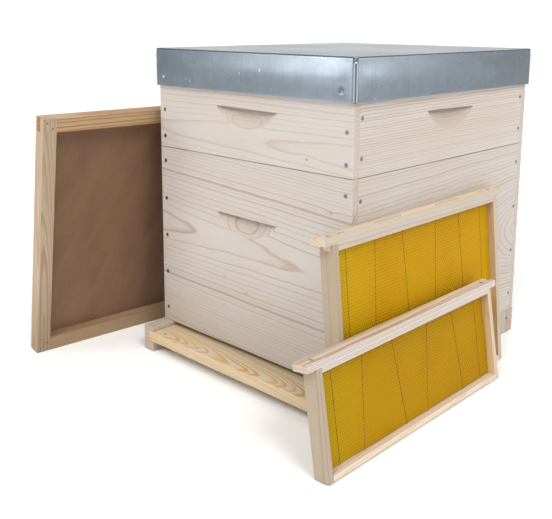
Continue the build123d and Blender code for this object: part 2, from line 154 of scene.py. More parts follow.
class HiveStage(bpy.types.PropertyGroup):
    floor: colour("Floor", "Pale studio floor", (0.95, 0.95, 0.95))
    sky_low: amount("Low sky", "Even light from the sides", 0.08)
    sky_high: amount("High sky", "Even light from above", 0.66)
    backdrop: amount("Backdrop", "White band at eye level", 1.05)
    front_key: amount("Front key", "Soft light from above the front", 1.44)
    side_key: amount("Side key", "Soft light from above the right", 1.28)
    softness: angle("Softness", "Angle that each key light fills", 22)
    front_glint: amount("Front glint", "Small lamp mirrored in the roof's front", 10.5, "POWER")
    side_glint: amount("Side glint", "Small lamp mirrored in the roof's right side", 8.5, "POWER")
    corner_glint: amount("Corner glint", "Small lamp mirrored in the roof's near corner", 1.0, "POWER")
    camera_place: FloatVectorProperty(
        name="Camera place", description="Where the camera stands", default=(0.8888, -1.1076, 0.5852),
        size=3, subtype="TRANSLATION", unit="LENGTH",
    )
    yaw: angle("Yaw", "Turn to the left", 43.812)
    pitch: angle("Pitch", "Downward tilt", 10.411)
    roll: angle("Roll", "Turn about the view", 0.308)
    lens: amount("Lens", "Focal length", 51.72, "CAMERA")
    rise: FloatProperty(name="Rise", description="Vertical shift of the lens", default=-0.1712)


# Places and directions read from the frame

def points_of(node):
    """The corners of a node's mesh, one row each, in metres."""
    places = np.zeros(len(nodes[node].data.vertices) * 3, np.float32)
    nodes[node].data.vertices.foreach_get("co", places)
    return places.reshape(-1, 3).astype(float)


Axes = namedtuple("Axes", "along up out middle")


def flat_axes(node):
    """The long, upward and outward directions of a flat, upright piece, and its middle."""
    points = points_of(node)
    middle = points.mean(0)
    long_way, high_way, _ = np.linalg.svd(points - middle, full_matrices=False)[2]
    along = Vector(long_way * np.sign(long_way[1]))
    up = Vector(high_way * np.sign(high_way[2]))
    return Axes(along, up, along.cross(up), Vector(middle))


def reach(node, direction):
    """How far a node reaches along a direction: its low and high end, in metres."""
    shadow = points_of(node) @ np.array(direction)
    return float(shadow.min()), float(shadow.max())


X, Y, Z = Vector((1, 0, 0)), Vector((0, 1, 0)), Vector((0, 0, 1))
crown_axes = flat_axes("crown_panel")
frame_axes = {name: flat_axes(f"{name}_foundation") for name in ("brood_frame", "super_frame")}


# Materials

# Names of values that a mesh carries, and how deep a blob goes, which is right through any board
SHADE, RUBBED_AND_HIGHLIGHT = "shade", "rubbed"
THROUGH = 1000.0


class Nodes:
    """A node tree that is built by calls, each returning an output to feed to the next."""

    def __init__(self, tree):
        self.tree = tree

    def feed(self, socket, value):
        if isinstance(value, bpy.types.NodeSocket):
            self.tree.links.new(value, socket)
        else:
            socket.default_value = value

    def node(self, kind, inputs=None, **settings):
        made = self.tree.nodes.new("ShaderNode" + kind)
        for name, value in settings.items():
            setattr(made, name, value)
        for socket, value in (inputs or {}).items():
            self.feed(made.inputs[socket], value)
        return made

    def math(self, operation, *values):
        return self.node("Math", dict(enumerate(values)), operation=operation).outputs[0]

    def add(self, first, second):
        return self.math("ADD", first, second)

    def times(self, first, *factors):
        for factor in factors:
            first = self.math("MULTIPLY", first, factor)
        return first

    def line(self, value, slope, offset):
        """A value times a slope, plus an offset."""
        return self.math("MULTIPLY_ADD", value, slope, offset)

    def vector(self, operation, *values):
        made = self.node("VectorMath", dict(enumerate(values)), operation=operation)
        return made.outputs["Value" if operation in ("DOT_PRODUCT", "LENGTH") else "Vector"]

    def dot(self, vector, way):
        return self.vector("DOT_PRODUCT", vector, way)

    def shrunk(self, vector, sizes):
        return self.vector("MULTIPLY", vector, [1 / size for size in sizes])

    def combine(self, x, y, z):
        return self.node("CombineXYZ", {0: x, 1: y, 2: z}).outputs[0]

    def split(self, vector):
        return self.node("SeparateXYZ", {0: vector}).outputs

    def noise(self, vector, size, detail=2.0, roughness=0.5, output=0):
        """Cloudy noise whose clouds have one size, or one along each axis. Output 1 has three values."""
        if isinstance(size, tuple):
            vector, size = self.shrunk(vector, size), 1.0
        sockets = {"Vector": vector, "Scale": 1 / size, "Detail": detail, "Roughness": roughness}
        return self.node("TexNoise", sockets).outputs[output]

    def cells(self, vector, size=1.0):
        sockets = {"Vector": vector, "Scale": 1 / size, "Randomness": 1.0}
        return self.node("TexVoronoi", sockets).outputs

    def chance(self, value):
        return self.node("TexWhiteNoise", {"W": value}, noise_dimensions="1D").outputs["Value"]

    def span(self, value, low, high, bottom=0.0, top=1.0, smooth=True):
        """From bottom to top while the value goes from low to high."""
        sockets = {"Value": value, "From Min": low, "From Max": high, "To Min": bottom, "To Max": top}
        kind = "SMOOTHSTEP" if smooth else "LINEAR"
        return self.node("MapRange", sockets, interpolation_type=kind).outputs[0]

    def ramp(self, value, *stops):
        made = self.node("ValToRGB", {0: value})
        elements = made.color_ramp.elements
        while len(elements) < len(stops):
            elements.new(1.0)
        for element, (place, grey) in zip(elements, stops):
            element.position = place
            element.color = (grey, grey, grey, 1)
        return made.outputs[0]

    def mix(self, factor, low, high):
        low, high = (c if isinstance(c, bpy.types.NodeSocket) else (*c, 1) for c in (low, high))
        return self.node("Mix", {0: factor, 6: low, 7: high}, data_type="RGBA").outputs[2]

    def shade(self, tone, grey):
        """A colour made lighter or darker by a value around one."""
        return self.vector("MULTIPLY", tone, self.combine(grey, grey, grey))

    def vary(self, tone, value, low, high, darkest, lightest):
        """A colour that a value shades between two strengths."""
        return self.shade(tone, self.span(value, low, high, darkest, lightest, smooth=False))

    def darken(self, tone, where, left):
        """A colour darkened where a value is one, to the part that is left of it."""
        return self.vary(tone, where, 0.0, 1.0, 1.0, left)

    def tint(self, tone, where, factors):
        """A colour multiplied by another where a value is one."""
        return self.mix(where, tone, self.vector("MULTIPLY", tone, factors))

    def bump(self, height, distance, strength):
        sockets = {"Height": height, "Distance": distance, "Strength": strength}
        return self.node("Bump", sockets).outputs[0]

    def blob(self, point, middle, radii):
        """One at a place on a board's face and fading over its radii, right through the board."""
        offset = self.vector("SUBTRACT", point, (*middle, 0.0))
        size = self.vector("LENGTH", self.vector("DIVIDE", offset, (*radii, THROUGH)))
        return self.math("EXPONENT", self.times(size, size, -1.0))


class Shader(Nodes):
    """A material whose nodes lead to its principled shader."""

    def __init__(self, name):
        self.material = bpy.data.materials.new(name)
        self.material.use_nodes = True
        super().__init__(self.material.node_tree)
        coordinates = self.node("TexCoord").outputs
        self.place, self.normal = coordinates["Object"], coordinates["Normal"]

    def millimetres(self):
        return self.vector("MULTIPLY", self.place, [1 / MM] * 3)

    def distance(self, axis, zero):
        """How far a place is along an axis: millimetres from a zero in metres."""
        return self.line(self.dot(self.place, axis), 1 / MM, -zero / MM)

    def facing(self, axis):
        """One on faces square to an axis and nothing on faces along it."""
        return self.math("ABSOLUTE", self.dot(self.normal, axis))

    def attribute(self, name):
        return self.node("Attribute", attribute_name=name).outputs["Fac"]

    def finish(self, sockets):
        surface = self.tree.nodes["Principled BSDF"]
        for name, value in sockets.items():
            self.feed(surface.inputs[name], value)
        return self.material


class Grain(NamedTuple):
    """How a board was sawn, in millimetres. The pith, the log's heart, is placed at the board's middle."""

    rise: float  # of the pith above the board's lower edge
    depth: float  # of the pith behind the board's outer face
    drift: float  # change of the rise along the grain
    lean: float  # change of the depth along the grain
    ring: float  # between growth rings at the pith
    crowd: float  # how much closer the rings get with each millimetre from the pith
    start: float  # season at the pith, as a part of a year
    late: float  # part of a year that is summer wood
    bold: float  # strength of the summer lines
    wave: float  # how far the rings bend to each side
    swirls: tuple = ()  # middle, radii and pull of each
    knots: tuple = ()  # middle and size of each
    inwards: float = 1.0  # how much faster the rings follow each other into the board
    tone: object = 1.0  # lightens, darkens or tints the whole piece
    foot: float = 0.0  # how much painted shade and warm bounce light darken the lowest part
    ends: tuple = (0.93, 0.885, 0.84)  # tint of the end grain
    face: tuple = ()  # tint of the outer face, where painted light and shade set it apart from the piece's other faces


# Wood: offsets between the patterns of two boards, or of two bars of one node, how square a face is to
# an axis to count as its end, and tints of warm growth, of painted shade and bounce light at a foot and of
# painted shade in a grip's bowl
SEED_STEP, ISLAND_STEP = (911, 377, 613), (3000.0, 40.0)
SQUARE_ON = 0.6, 0.9
WARM, FOOT_SHADE, BOWL_SHADE = (0.985, 0.955, 0.895), (0.42, 0.33, 0.20), (0.93, 0.895, 0.86)
# How high the painted shade and bounce light at a foot reach, and half the length, the depth and the
# height of a grip's bowl
FOOT_HEIGHT = 190.0
GRIP_HALF, GRIP_DEEP, GRIP_TALL = 80.0, 20.0, 42.0


def ring_radius(s, u, w, point, seeded, grain):
    """How far each point of a board is from the pith, as waves, swirls and knots bend the rings."""
    slow = s.noise(seeded, (230, 75, 75), output=1)
    quick = s.noise(seeded, (38, 11, 11), output=1)
    bent = s.vector("MULTIPLY_ADD", slow, (0, 2 * grain.wave, 2 * grain.wave), point)
    bent = s.vector("MULTIPLY_ADD", quick, (0, 1.5, 1.5), bent)
    _, rise, depth = s.split(bent)
    rise = s.line(u, -grain.drift, s.math("SUBTRACT", rise, grain.rise + grain.wave))
    depth = s.add(s.line(w, grain.inwards - 1.0, depth), grain.depth - grain.wave)
    depth = s.line(u, grain.lean, depth)
    radius = s.vector("LENGTH", s.combine(0.0, rise, depth))
    for middle, radii, pull in grain.swirls:
        radius = s.line(s.blob(point, middle, radii), -pull, radius)
    for middle, size in grain.knots:
        radius = s.line(s.blob(point, middle, (7 * size, 2.2 * size)), 1.2 * size, radius)
    return radius


def summer_wood(s, radius, grain, seed):
    """The summer lines of the growth rings, stronger in some years than in others."""
    crowded = s.line(radius, grain.crowd, 1.0)
    age = s.line(s.times(radius, crowded), 1 / grain.ring, grain.start)
    sockets = {"W": s.add(age, 7 * seed), "Scale": 0.8, "Detail": 1.0}
    uneven = s.node("TexNoise", sockets, noise_dimensions="1D").outputs[0]
    age = s.line(uneven, 0.8, age)
    year = s.math("FLOOR", age)
    strength = s.span(s.chance(s.add(year, 17 * seed)), 0.0, 1.0, 0.45, 1.0)
    late = s.ramp(
        s.math("FRACT", age), (0.0, 0.10), (0.04, 0.0), (1 - grain.late, 0.05),
        (1 - 0.45 * grain.late, 0.75), (0.95, 1.0), (1.0, 0.10),
    )
    return s.times(late, strength, grain.bold)


def painted_grip_and_joint_shade(s, tone, u, v, w, end_grain, grip, board):
    """Painted shade under the edge of a hand grip, in its bowl and on its walls, and a painted dark line
    of shade along the board's joints.
    The grip is the height of that edge, and the board is the board's own height."""
    below = s.span(v, grip + 3.0, grip + 2.0)
    within = s.times(s.span(w, -0.2, -0.7), s.span(w, -GRIP_DEEP, 2.0 - GRIP_DEEP))
    within = s.times(within, s.span(s.math("ABSOLUTE", u), GRIP_HALF, GRIP_HALF - 8.0))
    bowl = s.times(within, below, s.span(v, grip - GRIP_TALL, grip - GRIP_TALL + 2.0))
    under = s.times(s.span(v, grip - 9.0, grip - 1.0), below)
    joint = s.math("MINIMUM", v, s.math("SUBTRACT", board, v))
    joint = s.times(s.span(joint, 1.2, 0.35), s.span(w, -1.8, -1.0))
    # Painted shade: a darker bowl, a darker strip under the grip's edge and on the bowl's walls, and a
    # dark line along the joints
    tone = s.tint(tone, bowl, BOWL_SHADE)
    tone = s.darken(tone, s.times(under, within), 0.66)
    tone = s.darken(tone, s.times(s.span(end_grain, 0.10, 0.45), within), 0.92)
    return s.darken(tone, joint, 0.52)


def wood(node, along, up, grain, pale, line, seed, island=False, grip=None):
    """Solid wood: growth rings around a pith, bent by slow waves, with fibres along the grain.
    A board with a grip, given by its height, gets painted shade under the grip's edge and along its own
    joints."""
    s = Shader(node + "_wood")
    tint = np.ones(3) * grain.tone
    pale, line = ([float(part) for part in tint * tuple(each)] for each in (pale, line))
    out = along.cross(up)
    low, high = reach(node, up)
    u = s.distance(along, sum(reach(node, along)) / 2)
    v = s.distance(up, low)
    w = s.distance(out, reach(node, out)[1])
    if island:
        chance = s.node("NewGeometry").outputs["Random Per Island"]
        u, v = (s.line(chance, step, way) for step, way in zip(ISLAND_STEP, (u, v)))
    point = s.combine(u, v, w)
    seeded = s.vector("ADD", point, [seed * step for step in SEED_STEP])
    summer = summer_wood(s, ring_radius(s, u, w, point, seeded, grain), grain, seed)
    fibre = s.noise(seeded, (22, 0.8, 0.8), detail=3.0, roughness=0.6)
    broad = s.noise(seeded, (190, 60, 60))
    fine = s.noise(seeded, 1.6)
    tone = s.mix(s.span(broad, 0.35, 0.65), pale, [c * f for c, f in zip(pale, WARM)])
    tone = s.mix(summer, tone, line)
    for middle, size in grain.knots:
        core = s.span(s.blob(point, middle, (1.3 * size, size)), 0.25, 0.9, 0.0, 0.75)
        tone = s.mix(core, tone, [0.72 * c for c in line])
    tone = s.vary(tone, fibre, 0.2, 0.8, 0.93, 1.06)
    tone = s.vary(tone, fine, 0.2, 0.8, 0.98, 1.02)
    end_grain = s.facing(along)
    tone = s.tint(tone, s.span(end_grain, *SQUARE_ON), grain.ends)
    # Painted light and shade on the outer face
    if grain.face:
        tone = s.tint(tone, s.span(s.facing(out), *SQUARE_ON), grain.face)
    # Painted shade and warm bounce light at the foot of a board
    if grain.foot:
        height = s.distance(Z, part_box(node)[0].z)
        tone = s.tint(tone, s.span(height, 0.0, FOOT_HEIGHT, grain.foot, 0.0), FOOT_SHADE)
    # Painted shade in and under a grip and along the board's joints
    if grip:
        tone = painted_grip_and_joint_shade(s, tone, u, v, w, end_grain, grip, (high - low) / MM)
    return s.finish({
        "Base Color": tone,
        "Roughness": s.span(fibre, 0.2, 0.8, 0.52, 0.70, smooth=False),
        "Normal": s.bump(s.line(fibre, 0.6, summer), 0.12 * MM, 0.5),
        "Specular IOR Level": 0.35,
    })


def metal(name, bright, dark, speck, roughness, bump_depth, shaded=False):
    """Bare metal with cloudy tarnish, fine specks and a rolled or drawn surface.
    A shaded one is darkened by its mesh's own shade, as in a screw's recess."""
    s = Shader(name)
    place = s.millimetres()
    cloud = s.noise(place, 12 * speck, detail=4.0, roughness=0.6)
    fine = s.noise(place, speck, detail=3.0)
    tone = s.mix(s.span(cloud, 0.35, 0.7), bright, dark)
    tone = s.vary(tone, fine, 0.25, 0.75, 0.85, 1.12)
    if shaded:
        tone = s.shade(tone, s.attribute(SHADE))
    return s.finish({
        "Base Color": tone,
        "Metallic": 1.0,
        "Roughness": s.span(cloud, 0.3, 0.7, roughness - 0.07, roughness + 0.1),
        "Normal": s.bump(fine, bump_depth * MM, 0.6),
    })


def half(tone):
    """A colour's dark half, for tarnish."""
    return [0.5 * part for part in tone]


def galvanised(name, look):
    """Galvanised roof sheet: faint spangle, mill grain, streaks, dull patches, scuffs, and edges painted
    bright, partly as wear and partly as painted highlight.
    """
    s = Shader(name)
    place = s.millimetres()
    facet = s.chance(s.dot(s.cells(place, 9.0)["Color"], (1.0, 7.0, 13.0)))
    cloud = s.noise(place, (150, 150, 70), detail=3.0, roughness=0.55)
    grit = s.noise(place, 1.1, roughness=0.7)
    streak = s.noise(place, (5, 5, 90), detail=3.0)
    tone = s.mix(s.span(cloud, 0.36, 0.66), look.zinc, look.zinc_dark)
    tone = s.vary(tone, facet, 0.0, 1.0, 0.98, 1.03)
    tone = s.vary(tone, grit, 0.2, 0.8, 0.80, 1.18)
    tone = s.vary(tone, streak, 0.3, 0.7, 0.97, 1.04)
    spot = s.cells(s.shrunk(place, (12, 12, 22)))
    ragged = s.line(s.math("SUBTRACT", grit, 0.5), 0.35, spot["Distance"])
    lone = s.chance(s.dot(spot["Color"], (3.0, 5.0, 11.0)))
    scuff = s.times(s.span(ragged, 0.02, 0.15, 1.0, 0.0), s.span(lone, 0.80, 0.86), 0.45)
    tone = s.mix(scuff, tone, look.scuff)
    # Edges painted bright: partly wear, partly painted highlight
    tone = s.mix(s.attribute(RUBBED_AND_HIGHLIGHT), tone, look.rubbed)
    return s.finish({
        "Base Color": tone,
        "Metallic": 1.0,
        "Roughness": s.line(facet, 0.02, s.span(cloud, 0.3, 0.7, 0.24, 0.31)),
        "Normal": s.bump(s.line(grit, 0.25, s.times(facet, 0.04)), 0.10 * MM, 0.35),
    })


def plywood(name, node, axes, look):
    """Reddish face veneer with upright fibres and cloudy stain, and thin plies along the edges."""
    s = Shader(name)
    u, v, w = (s.distance(axis, reach(node, axis)[0]) for axis in (axes.along, axes.up, axes.out))
    point = s.combine(u, v, w)
    slanted = s.combine(s.line(v, -0.45, u), v, w)
    fibre = s.noise(point, (1.6, 24, 1.6), detail=4.0, roughness=0.65)
    cloud = s.noise(slanted, (60, 150, 60), detail=5.0, roughness=0.62)
    speck = s.noise(point, 2.2, detail=3.0, roughness=0.7)
    pore = s.noise(point, (0.9, 9, 0.9), detail=1.0)
    tone = s.mix(s.span(cloud, 0.35, 0.68), look.panel, look.panel_dark)
    tone = s.vary(tone, fibre, 0.25, 0.75, 0.94, 1.06)
    tone = s.vary(tone, speck, 0.3, 0.7, 0.89, 1.11)
    tone = s.shade(tone, s.span(pore, 0.66, 0.74, 1.0, 0.80))
    ply = s.span(s.math("PINGPONG", w, 1.25), 0.45, 0.75)
    edge = s.span(s.facing(axes.out), 0.5, 0.8, 1.0, 0.0)
    tone = s.mix(edge, tone, s.mix(ply, look.ply_dark, look.ply_pale))
    return s.finish({
        "Base Color": tone,
        "Roughness": s.span(speck, 0.3, 0.7, 0.50, 0.66, smooth=False),
        "Normal": s.bump(fibre, 0.10 * MM, 0.5),
        "Specular IOR Level": 0.4,
    })


# The near end of a sheet outside the hive is paler: where that starts and ends, and its tint
NEAR_END, NEAR_TINT = (-205.0, -90.0), (1.02, 1.14, 1.6)


def wax(name, look, marks=None, depth=1.0):
    """Pressed wax: ridges painted light as highlight, deeper hollows, cloudy tone and a dark line along
    each wire that is partly melted wax and partly painted shadow of the wire.
    Marks are the wire's spreads at its foot and top, and the heights of these.
    Depth darkens one sheet against another."""
    s = Shader(name)
    place = s.millimetres()
    x, y, z = s.split(place)
    across = s.combine(x if marks else y, 0.0, z)
    turn = 4 * pi / sqrt(3) / (look.cell / MM)
    waves = [
        s.math("COSINE", s.times(s.dot(across, way), turn))
        for way in ((0, 0, 1), (sqrt(3) / 2, 0, 0.5), (-sqrt(3) / 2, 0, 0.5))
    ]
    hollow = s.span(s.add(s.add(waves[0], waves[1]), waves[2]), -1.5, 3.0, smooth=False)
    cloud = s.noise(place, 120, detail=3.0)
    speck = s.noise(place, 3.0)
    tone = s.mix(s.span(cloud, 0.35, 0.65), look.wax, look.wax_deep)
    # Painted highlight on the cells' ridges
    tone = s.mix(s.span(hollow, 0.45, 0.05), tone, look.wax_ridge_highlight)
    tone = s.vary(tone, speck, 0.2, 0.8, 0.94 * depth, 1.05 * depth)
    if marks:
        nearest = 100.0
        feet, tops, low, high = marks
        for foot, top in zip(feet, tops):
            slope = (top - foot) / (high - low)
            strand = s.math("SUBTRACT", s.math("ABSOLUTE", x), (foot - slope * low) / MM)
            strand = s.math("ABSOLUTE", s.line(z, -slope, strand))
            nearest = s.math("MINIMUM", strand, nearest)
        broken = s.noise(s.combine(0.0, 0.0, z), 7.0)
        mark = s.times(s.span(nearest, 0.3, 0.9, 1.0, 0.0), s.span(broken, 0.3, 0.6, 0.35, 0.9))
        outside = s.span(y, 0.0, 0.2, 1.0, 0.0)
        tone = s.tint(tone, s.span(x, *NEAR_END, 1.0, 0.0), NEAR_TINT)
        # The line along each wire: partly melted wax, partly painted shadow of the wire
        tone = s.mix(s.times(mark, outside), tone, look.wire_mark)
    return s.finish({
        "Base Color": tone,
        "Roughness": s.span(speck, 0.2, 0.8, 0.46, 0.58, smooth=False),
        "Normal": s.bump(hollow, -0.15 * MM if marks else -0.5 * MM, 0.4),
        "Specular IOR Level": 0.04,
    })


# Shapes

# Corners nearer than this are one, edges sharper than this are rounded, and the rounding of small steel
JOIN = 0.005 * MM
SHARP = radians(40)
REST_EDGE, STAPLE_EDGE = 0.2 * MM, 0.15 * MM


def paint(piece, material):
    piece.data.materials.clear()
    piece.data.materials.append(material)


def soften(node, width):
    """Rounded edges and even shading on a piece of the frame, as modifiers."""
    piece = nodes[node]
    weld = piece.modifiers.new("weld", "WELD")
    weld.merge_threshold = JOIN
    edges = piece.modifiers.new("rounded_edges", "BEVEL")
    edges.width = width
    edges.segments = 2
    edges.limit_method = "ANGLE"
    edges.angle_limit = SHARP
    edges.use_clamp_overlap = False
    shading = piece.modifiers.new("even_shading", "WEIGHTED_NORMAL")
    shading.keep_sharp = False


def finish_board(node, along, up, grain, tones, seed, edge, **more):
    """Wood and rounded edges for a board or bar of the frame."""
    paint(nodes[node], wood(node, along, up, grain, *tones, seed, **more))
    soften(node, edge)


def add_piece(name, mesh, material, node, place=Matrix(), smooth=True):
    """A new piece that stands for a node, which it hides, rides on its body and takes a finish."""
    mesh.validate()
    mesh.polygons.foreach_set("use_smooth", [smooth] * len(mesh.polygons))
    piece = bpy.data.objects.new(name, mesh)
    bpy.context.scene.collection.objects.link(piece)
    piece.matrix_world = place
    paint(piece, material)
    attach(piece, body_of[node])
    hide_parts(node)


def to_mesh(name, shape):
    """A mesh from a bmesh, which is freed."""
    mesh = bpy.data.meshes.new(name)
    shape.to_mesh(mesh)
    shape.free()
    return mesh


def islands(node):
    """The corners of each separate solid of a node."""
    shape = bmesh.new()
    shape.from_mesh(nodes[node].data)
    bmesh.ops.remove_doubles(shape, verts=shape.verts, dist=JOIN)
    seen, found = set(), []
    for first in shape.verts:
        island, waiting = [], [first]
        while waiting:
            corner = waiting.pop()
            if corner not in seen:
                seen.add(corner)
                island.append(tuple(corner.co))
                waiting += [edge.other_vert(corner) for edge in corner.link_edges]
        if island:
            found.append(np.array(island))
    shape.free()
    return found


def fastener_places(node):
    """For each screw or nail: the middle of its head's face, the way out of the wood and its length."""
    places = []
    for corners in islands(node):
        middle = corners.mean(0)
        line = np.linalg.svd(corners - middle, full_matrices=False)[2][0]
        steps = (corners - middle) @ line
        ends = []
        for sign in (-1, 1):
            tip = corners[steps * sign > (steps * sign).max() - 0.2 * MM]
            spread = np.linalg.norm(tip - tip.mean(0), axis=1).max()
            ends.append((spread, tuple(tip.mean(0)), tuple(line * sign)))
        _, head, out = max(ends)
        places.append((Vector(head), Vector(out), float(steps.max() - steps.min())))
    return places


# Corners round a screw or nail, and the outlines of its rings: even, and pinched to a cross
SIDES = 24
EVEN = [1.0] * SIDES
CROSS = [1.0 if i % 6 in (0, 1, 5) else 0.42 for i in range(SIDES)]


def turned(profile, point, tip):
    """A turned shape from its point to its tip: radius, height, shade and outline of each ring."""
    corners, shades = [(0, 0, point)], [profile[0][2]]
    for radius, height, shade, outline in profile:
        for i, part in enumerate(outline):
            turn = 2 * pi * i / SIDES
            corners.append((radius * part * cos(turn), radius * part * sin(turn), height))
        shades += [shade] * SIDES
    last, top = len(corners) - SIDES, len(corners)
    faces = []
    for i in range(SIDES):
        j = (i + 1) % SIDES
        faces.append((0, 1 + j, 1 + i))
        faces.append((top, last + i, last + j))
        faces += [(a + i, a + j, a + SIDES + j, a + SIDES + i) for a in range(1, last, SIDES)]
    return corners + [(0, 0, tip)], faces, shades + [profile[-1][2]]


def screw_shape(head, shank, size):
    """A countersunk screw with a cross recess, head up at the origin, ringed by a dark rim that is painted
    shadow of a recess round its head.
    """
    return turned((
        (0.45 * shank, 5 * MM - size, 0.6, EVEN),
        (shank, 9 * MM - size, 0.6, EVEN),
        (shank, -2.4 * MM, 0.6, EVEN),
        # Painted shadow: a dark rim round the head, as of a recess
        (1.11 * head, -0.02 * MM, 0.03, EVEN),
        (1.10 * head, 0.03 * MM, 0.03, EVEN),
        (0.97 * head, 0.04 * MM, 0.03, EVEN),
        (0.95 * head, 0.26 * MM, 0.9, EVEN),
        (0.86 * head, 0.34 * MM, 1.0, EVEN),
        (0.62 * head, 0.32 * MM, 0.9, CROSS),
        # Painted shade in the bottom of the cross
        (0.56 * head, 0.06 * MM, 0.05, CROSS),
    ), -size, 0.05 * MM)


def nail_shape(head, shank, size):
    """A wire nail with a slightly domed head."""
    return turned((
        (shank, 3 * MM - size, 0.8, EVEN),
        (shank, -0.9 * MM, 0.8, EVEN),
        (head, -0.6 * MM, 0.4, EVEN),
        (head, 0.05 * MM, 0.5, EVEN),
        (0.8 * head, 0.20 * MM, 1.0, EVEN),
    ), -size, 0.26 * MM)


def fastener_mesh(node, shape, head, shank):
    """All screws or nails of a node, each turned a little differently and sunk a little."""
    sunk, twist = 0.1 * MM, 1.1
    corners, faces, shades = [], [], []
    for index, (middle, out, size) in enumerate(fastener_places(node)):
        own_corners, own_faces, own_shades = shape(head, shank, size)
        stand = out.to_track_quat("Z", "Y").to_matrix().to_4x4()
        place = Matrix.Translation(middle - out * sunk) @ stand @ Matrix.Rotation(index * twist, 4, "Z")
        faces += [tuple(len(corners) + i for i in face) for face in own_faces]
        corners += [tuple(place @ Vector(corner)) for corner in own_corners]
        shades += own_shades
    mesh = bpy.data.meshes.new(f"{node}_mesh")
    mesh.from_pydata(corners, [], faces)
    mesh.attributes.new(SHADE, "FLOAT", "POINT").data.foreach_set("value", shades)
    return mesh


def smoothstep(value, low, high):
    t = min(max((value - low) / (high - low), 0.0), 1.0)
    return t * t * (3 - 2 * t)


# The folded roof, in millimetres: sheet, bends of its upper edge and corners, end of the corner slots,
# clinch dimples, turned-in ears and the belly that bending leaves in the skirt below its upper edge
SHEET, FOLD, BEND = 1.0, 2.5, 6.0
SLOT_END, HALF_SLOT, LIP = 8.0, 2.0, 1.1
CLINCH_INSET, CLINCH_RISE, CLINCH_WIDTH, CLINCH_DEPTH = 25.0, 17.0, 10.0, 1.5
EAR, EAR_THICK = 50.0, 2.0
BELLY, BELLY_DROP = 0.9, 26.0
CORNERS = ((1, -1), (1, 1), (-1, 1), (-1, -1))
# Its mesh: steps round a corner, up the skirt and over the fold, and insets of the rings on its top
CORNER_STEPS, SKIRT_STEPS, FOLD_STEPS = 8, 26, 6
TOP_INSETS = (FOLD, 6, 12, 24, 42, 66, 95, 128, 163, 195)
# How bright its lower edge, its fold and the lips of its slots are painted: partly wear, partly painted
# highlight
FOOT_WEAR_AND_HIGHLIGHT, FOLD_WEAR_AND_HIGHLIGHT, LIP_WEAR_AND_HIGHLIGHT = 0.12, 0.25, 0.7

Roof = namedtuple("Roof", "half_x half_y low high wave")


def side_steps(size):
    """Places along a side of the roof: close together near its ends, where the dimples are."""
    close, fine, coarse = 44.0, 2.0, 14.0
    ends = [fine * i for i in range(int(close / fine))]
    count = max(2, int((size - 2 * close) / coarse))
    between = [close + (size - 2 * close) * i / count for i in range(count + 1)]
    return ends + between + [size - place for place in reversed(ends)]


def roof_loop(roof, inset):
    """A rounded oblong inside the roof's outline: points, and whether each starts a part of a slot."""
    bend = max(BEND - inset, 0.2)

    def on_arc(corner, degrees):
        x, y = (roof.half_x - inset - bend) * corner[0], (roof.half_y - inset - bend) * corner[1]
        return Vector((x + bend * cos(radians(degrees)), y + bend * sin(radians(degrees))))

    points, in_slot = [], []
    for index, corner in enumerate(CORNERS):
        turn = 90 * index - 90
        for step in range(CORNER_STEPS):
            points.append(on_arc(corner, turn + 90 * step / CORNER_STEPS))
            in_slot.append(abs(step + 0.5 - CORNER_STEPS / 2) < 1)
        whole = 2 * ((roof.half_x if index % 2 else roof.half_y) - BEND)
        start, stop = on_arc(corner, turn + 90), on_arc(CORNERS[(index + 1) % 4], turn + 90)
        for place in side_steps(whole)[:-1]:
            points.append(start.lerp(stop, place / whole))
            in_slot.append(False)
    return points, in_slot


def sheet_shift(x, y, z, roof):
    """How far a point of the roof's sheet is out of true, in millimetres."""
    inset_x, inset_y = roof.half_x - abs(x), roof.half_y - abs(y)
    edge = roof.high - FOLD
    if z > edge:
        flat = smoothstep(min(inset_x, inset_y), 8, 110)
        uneven = noise.noise(Vector((x / 190, y / 190, 3.1)))
        return Vector((0, 0, roof.wave * flat * (0.6 + 0.5 * uneven)))
    near_x = inset_x < inset_y
    along, end_inset, side = (y, inset_y, x) if near_x else (x, inset_x, y)
    sign = 1 if side > 0 else -1
    free = smoothstep(end_inset, 10, 90) * smoothstep(edge - z, 0, roof.high - roof.low)
    seed = 10.0 * sign + (5 if near_x else 0)
    out = roof.wave * free * (0.35 + 0.8 * noise.noise(Vector((along / 150, seed, z / 200))))
    swell = smoothstep(edge - z, 0, BELLY_DROP) - smoothstep(edge - z, BELLY_DROP, edge - roof.low)
    out += BELLY * swell * smoothstep(end_inset, 4, 36)
    drop = 0.35 * roof.wave * free * noise.noise(Vector((along / 80, seed, 5.5)))
    if near_x:
        return Vector((out * sign, 0, drop))
    far = Vector((end_inset - CLINCH_INSET, z - roof.low - CLINCH_RISE)).length / (CLINCH_WIDTH / 2)
    out -= CLINCH_DEPTH * (1 - smoothstep(far, 0, 1))
    out += 0.12 * smoothstep(far, 0.6, 1.1) * (1 - smoothstep(far, 1.1, 2.2))
    return Vector((0, out * sign, drop))


def sheet_rings(shape, roof, layer):
    """The corners of the sheet's outer or inner face, ring by ring from the skirt's foot to the top."""
    edge = roof.high - FOLD
    bend = FOLD - layer
    profile = [(layer, roof.low + (edge - roof.low) * i / SKIRT_STEPS) for i in range(SKIRT_STEPS + 1)]
    for step in range(1, FOLD_STEPS):
        turn = pi / 2 * step / FOLD_STEPS
        profile.append((layer + bend * (1 - cos(turn)), edge + bend * sin(turn)))
    profile += [(inset, roof.high - layer) for inset in TOP_INSETS]
    rings = []
    for inset, z in profile:
        points, in_slot = roof_loop(roof, inset)
        places = [Vector((x, y, z)) + sheet_shift(x, y, z, roof) for x, y in points]
        rings.append([shape.verts.new(place * MM) for place in places])
    return rings, [z for _, z in profile], in_slot


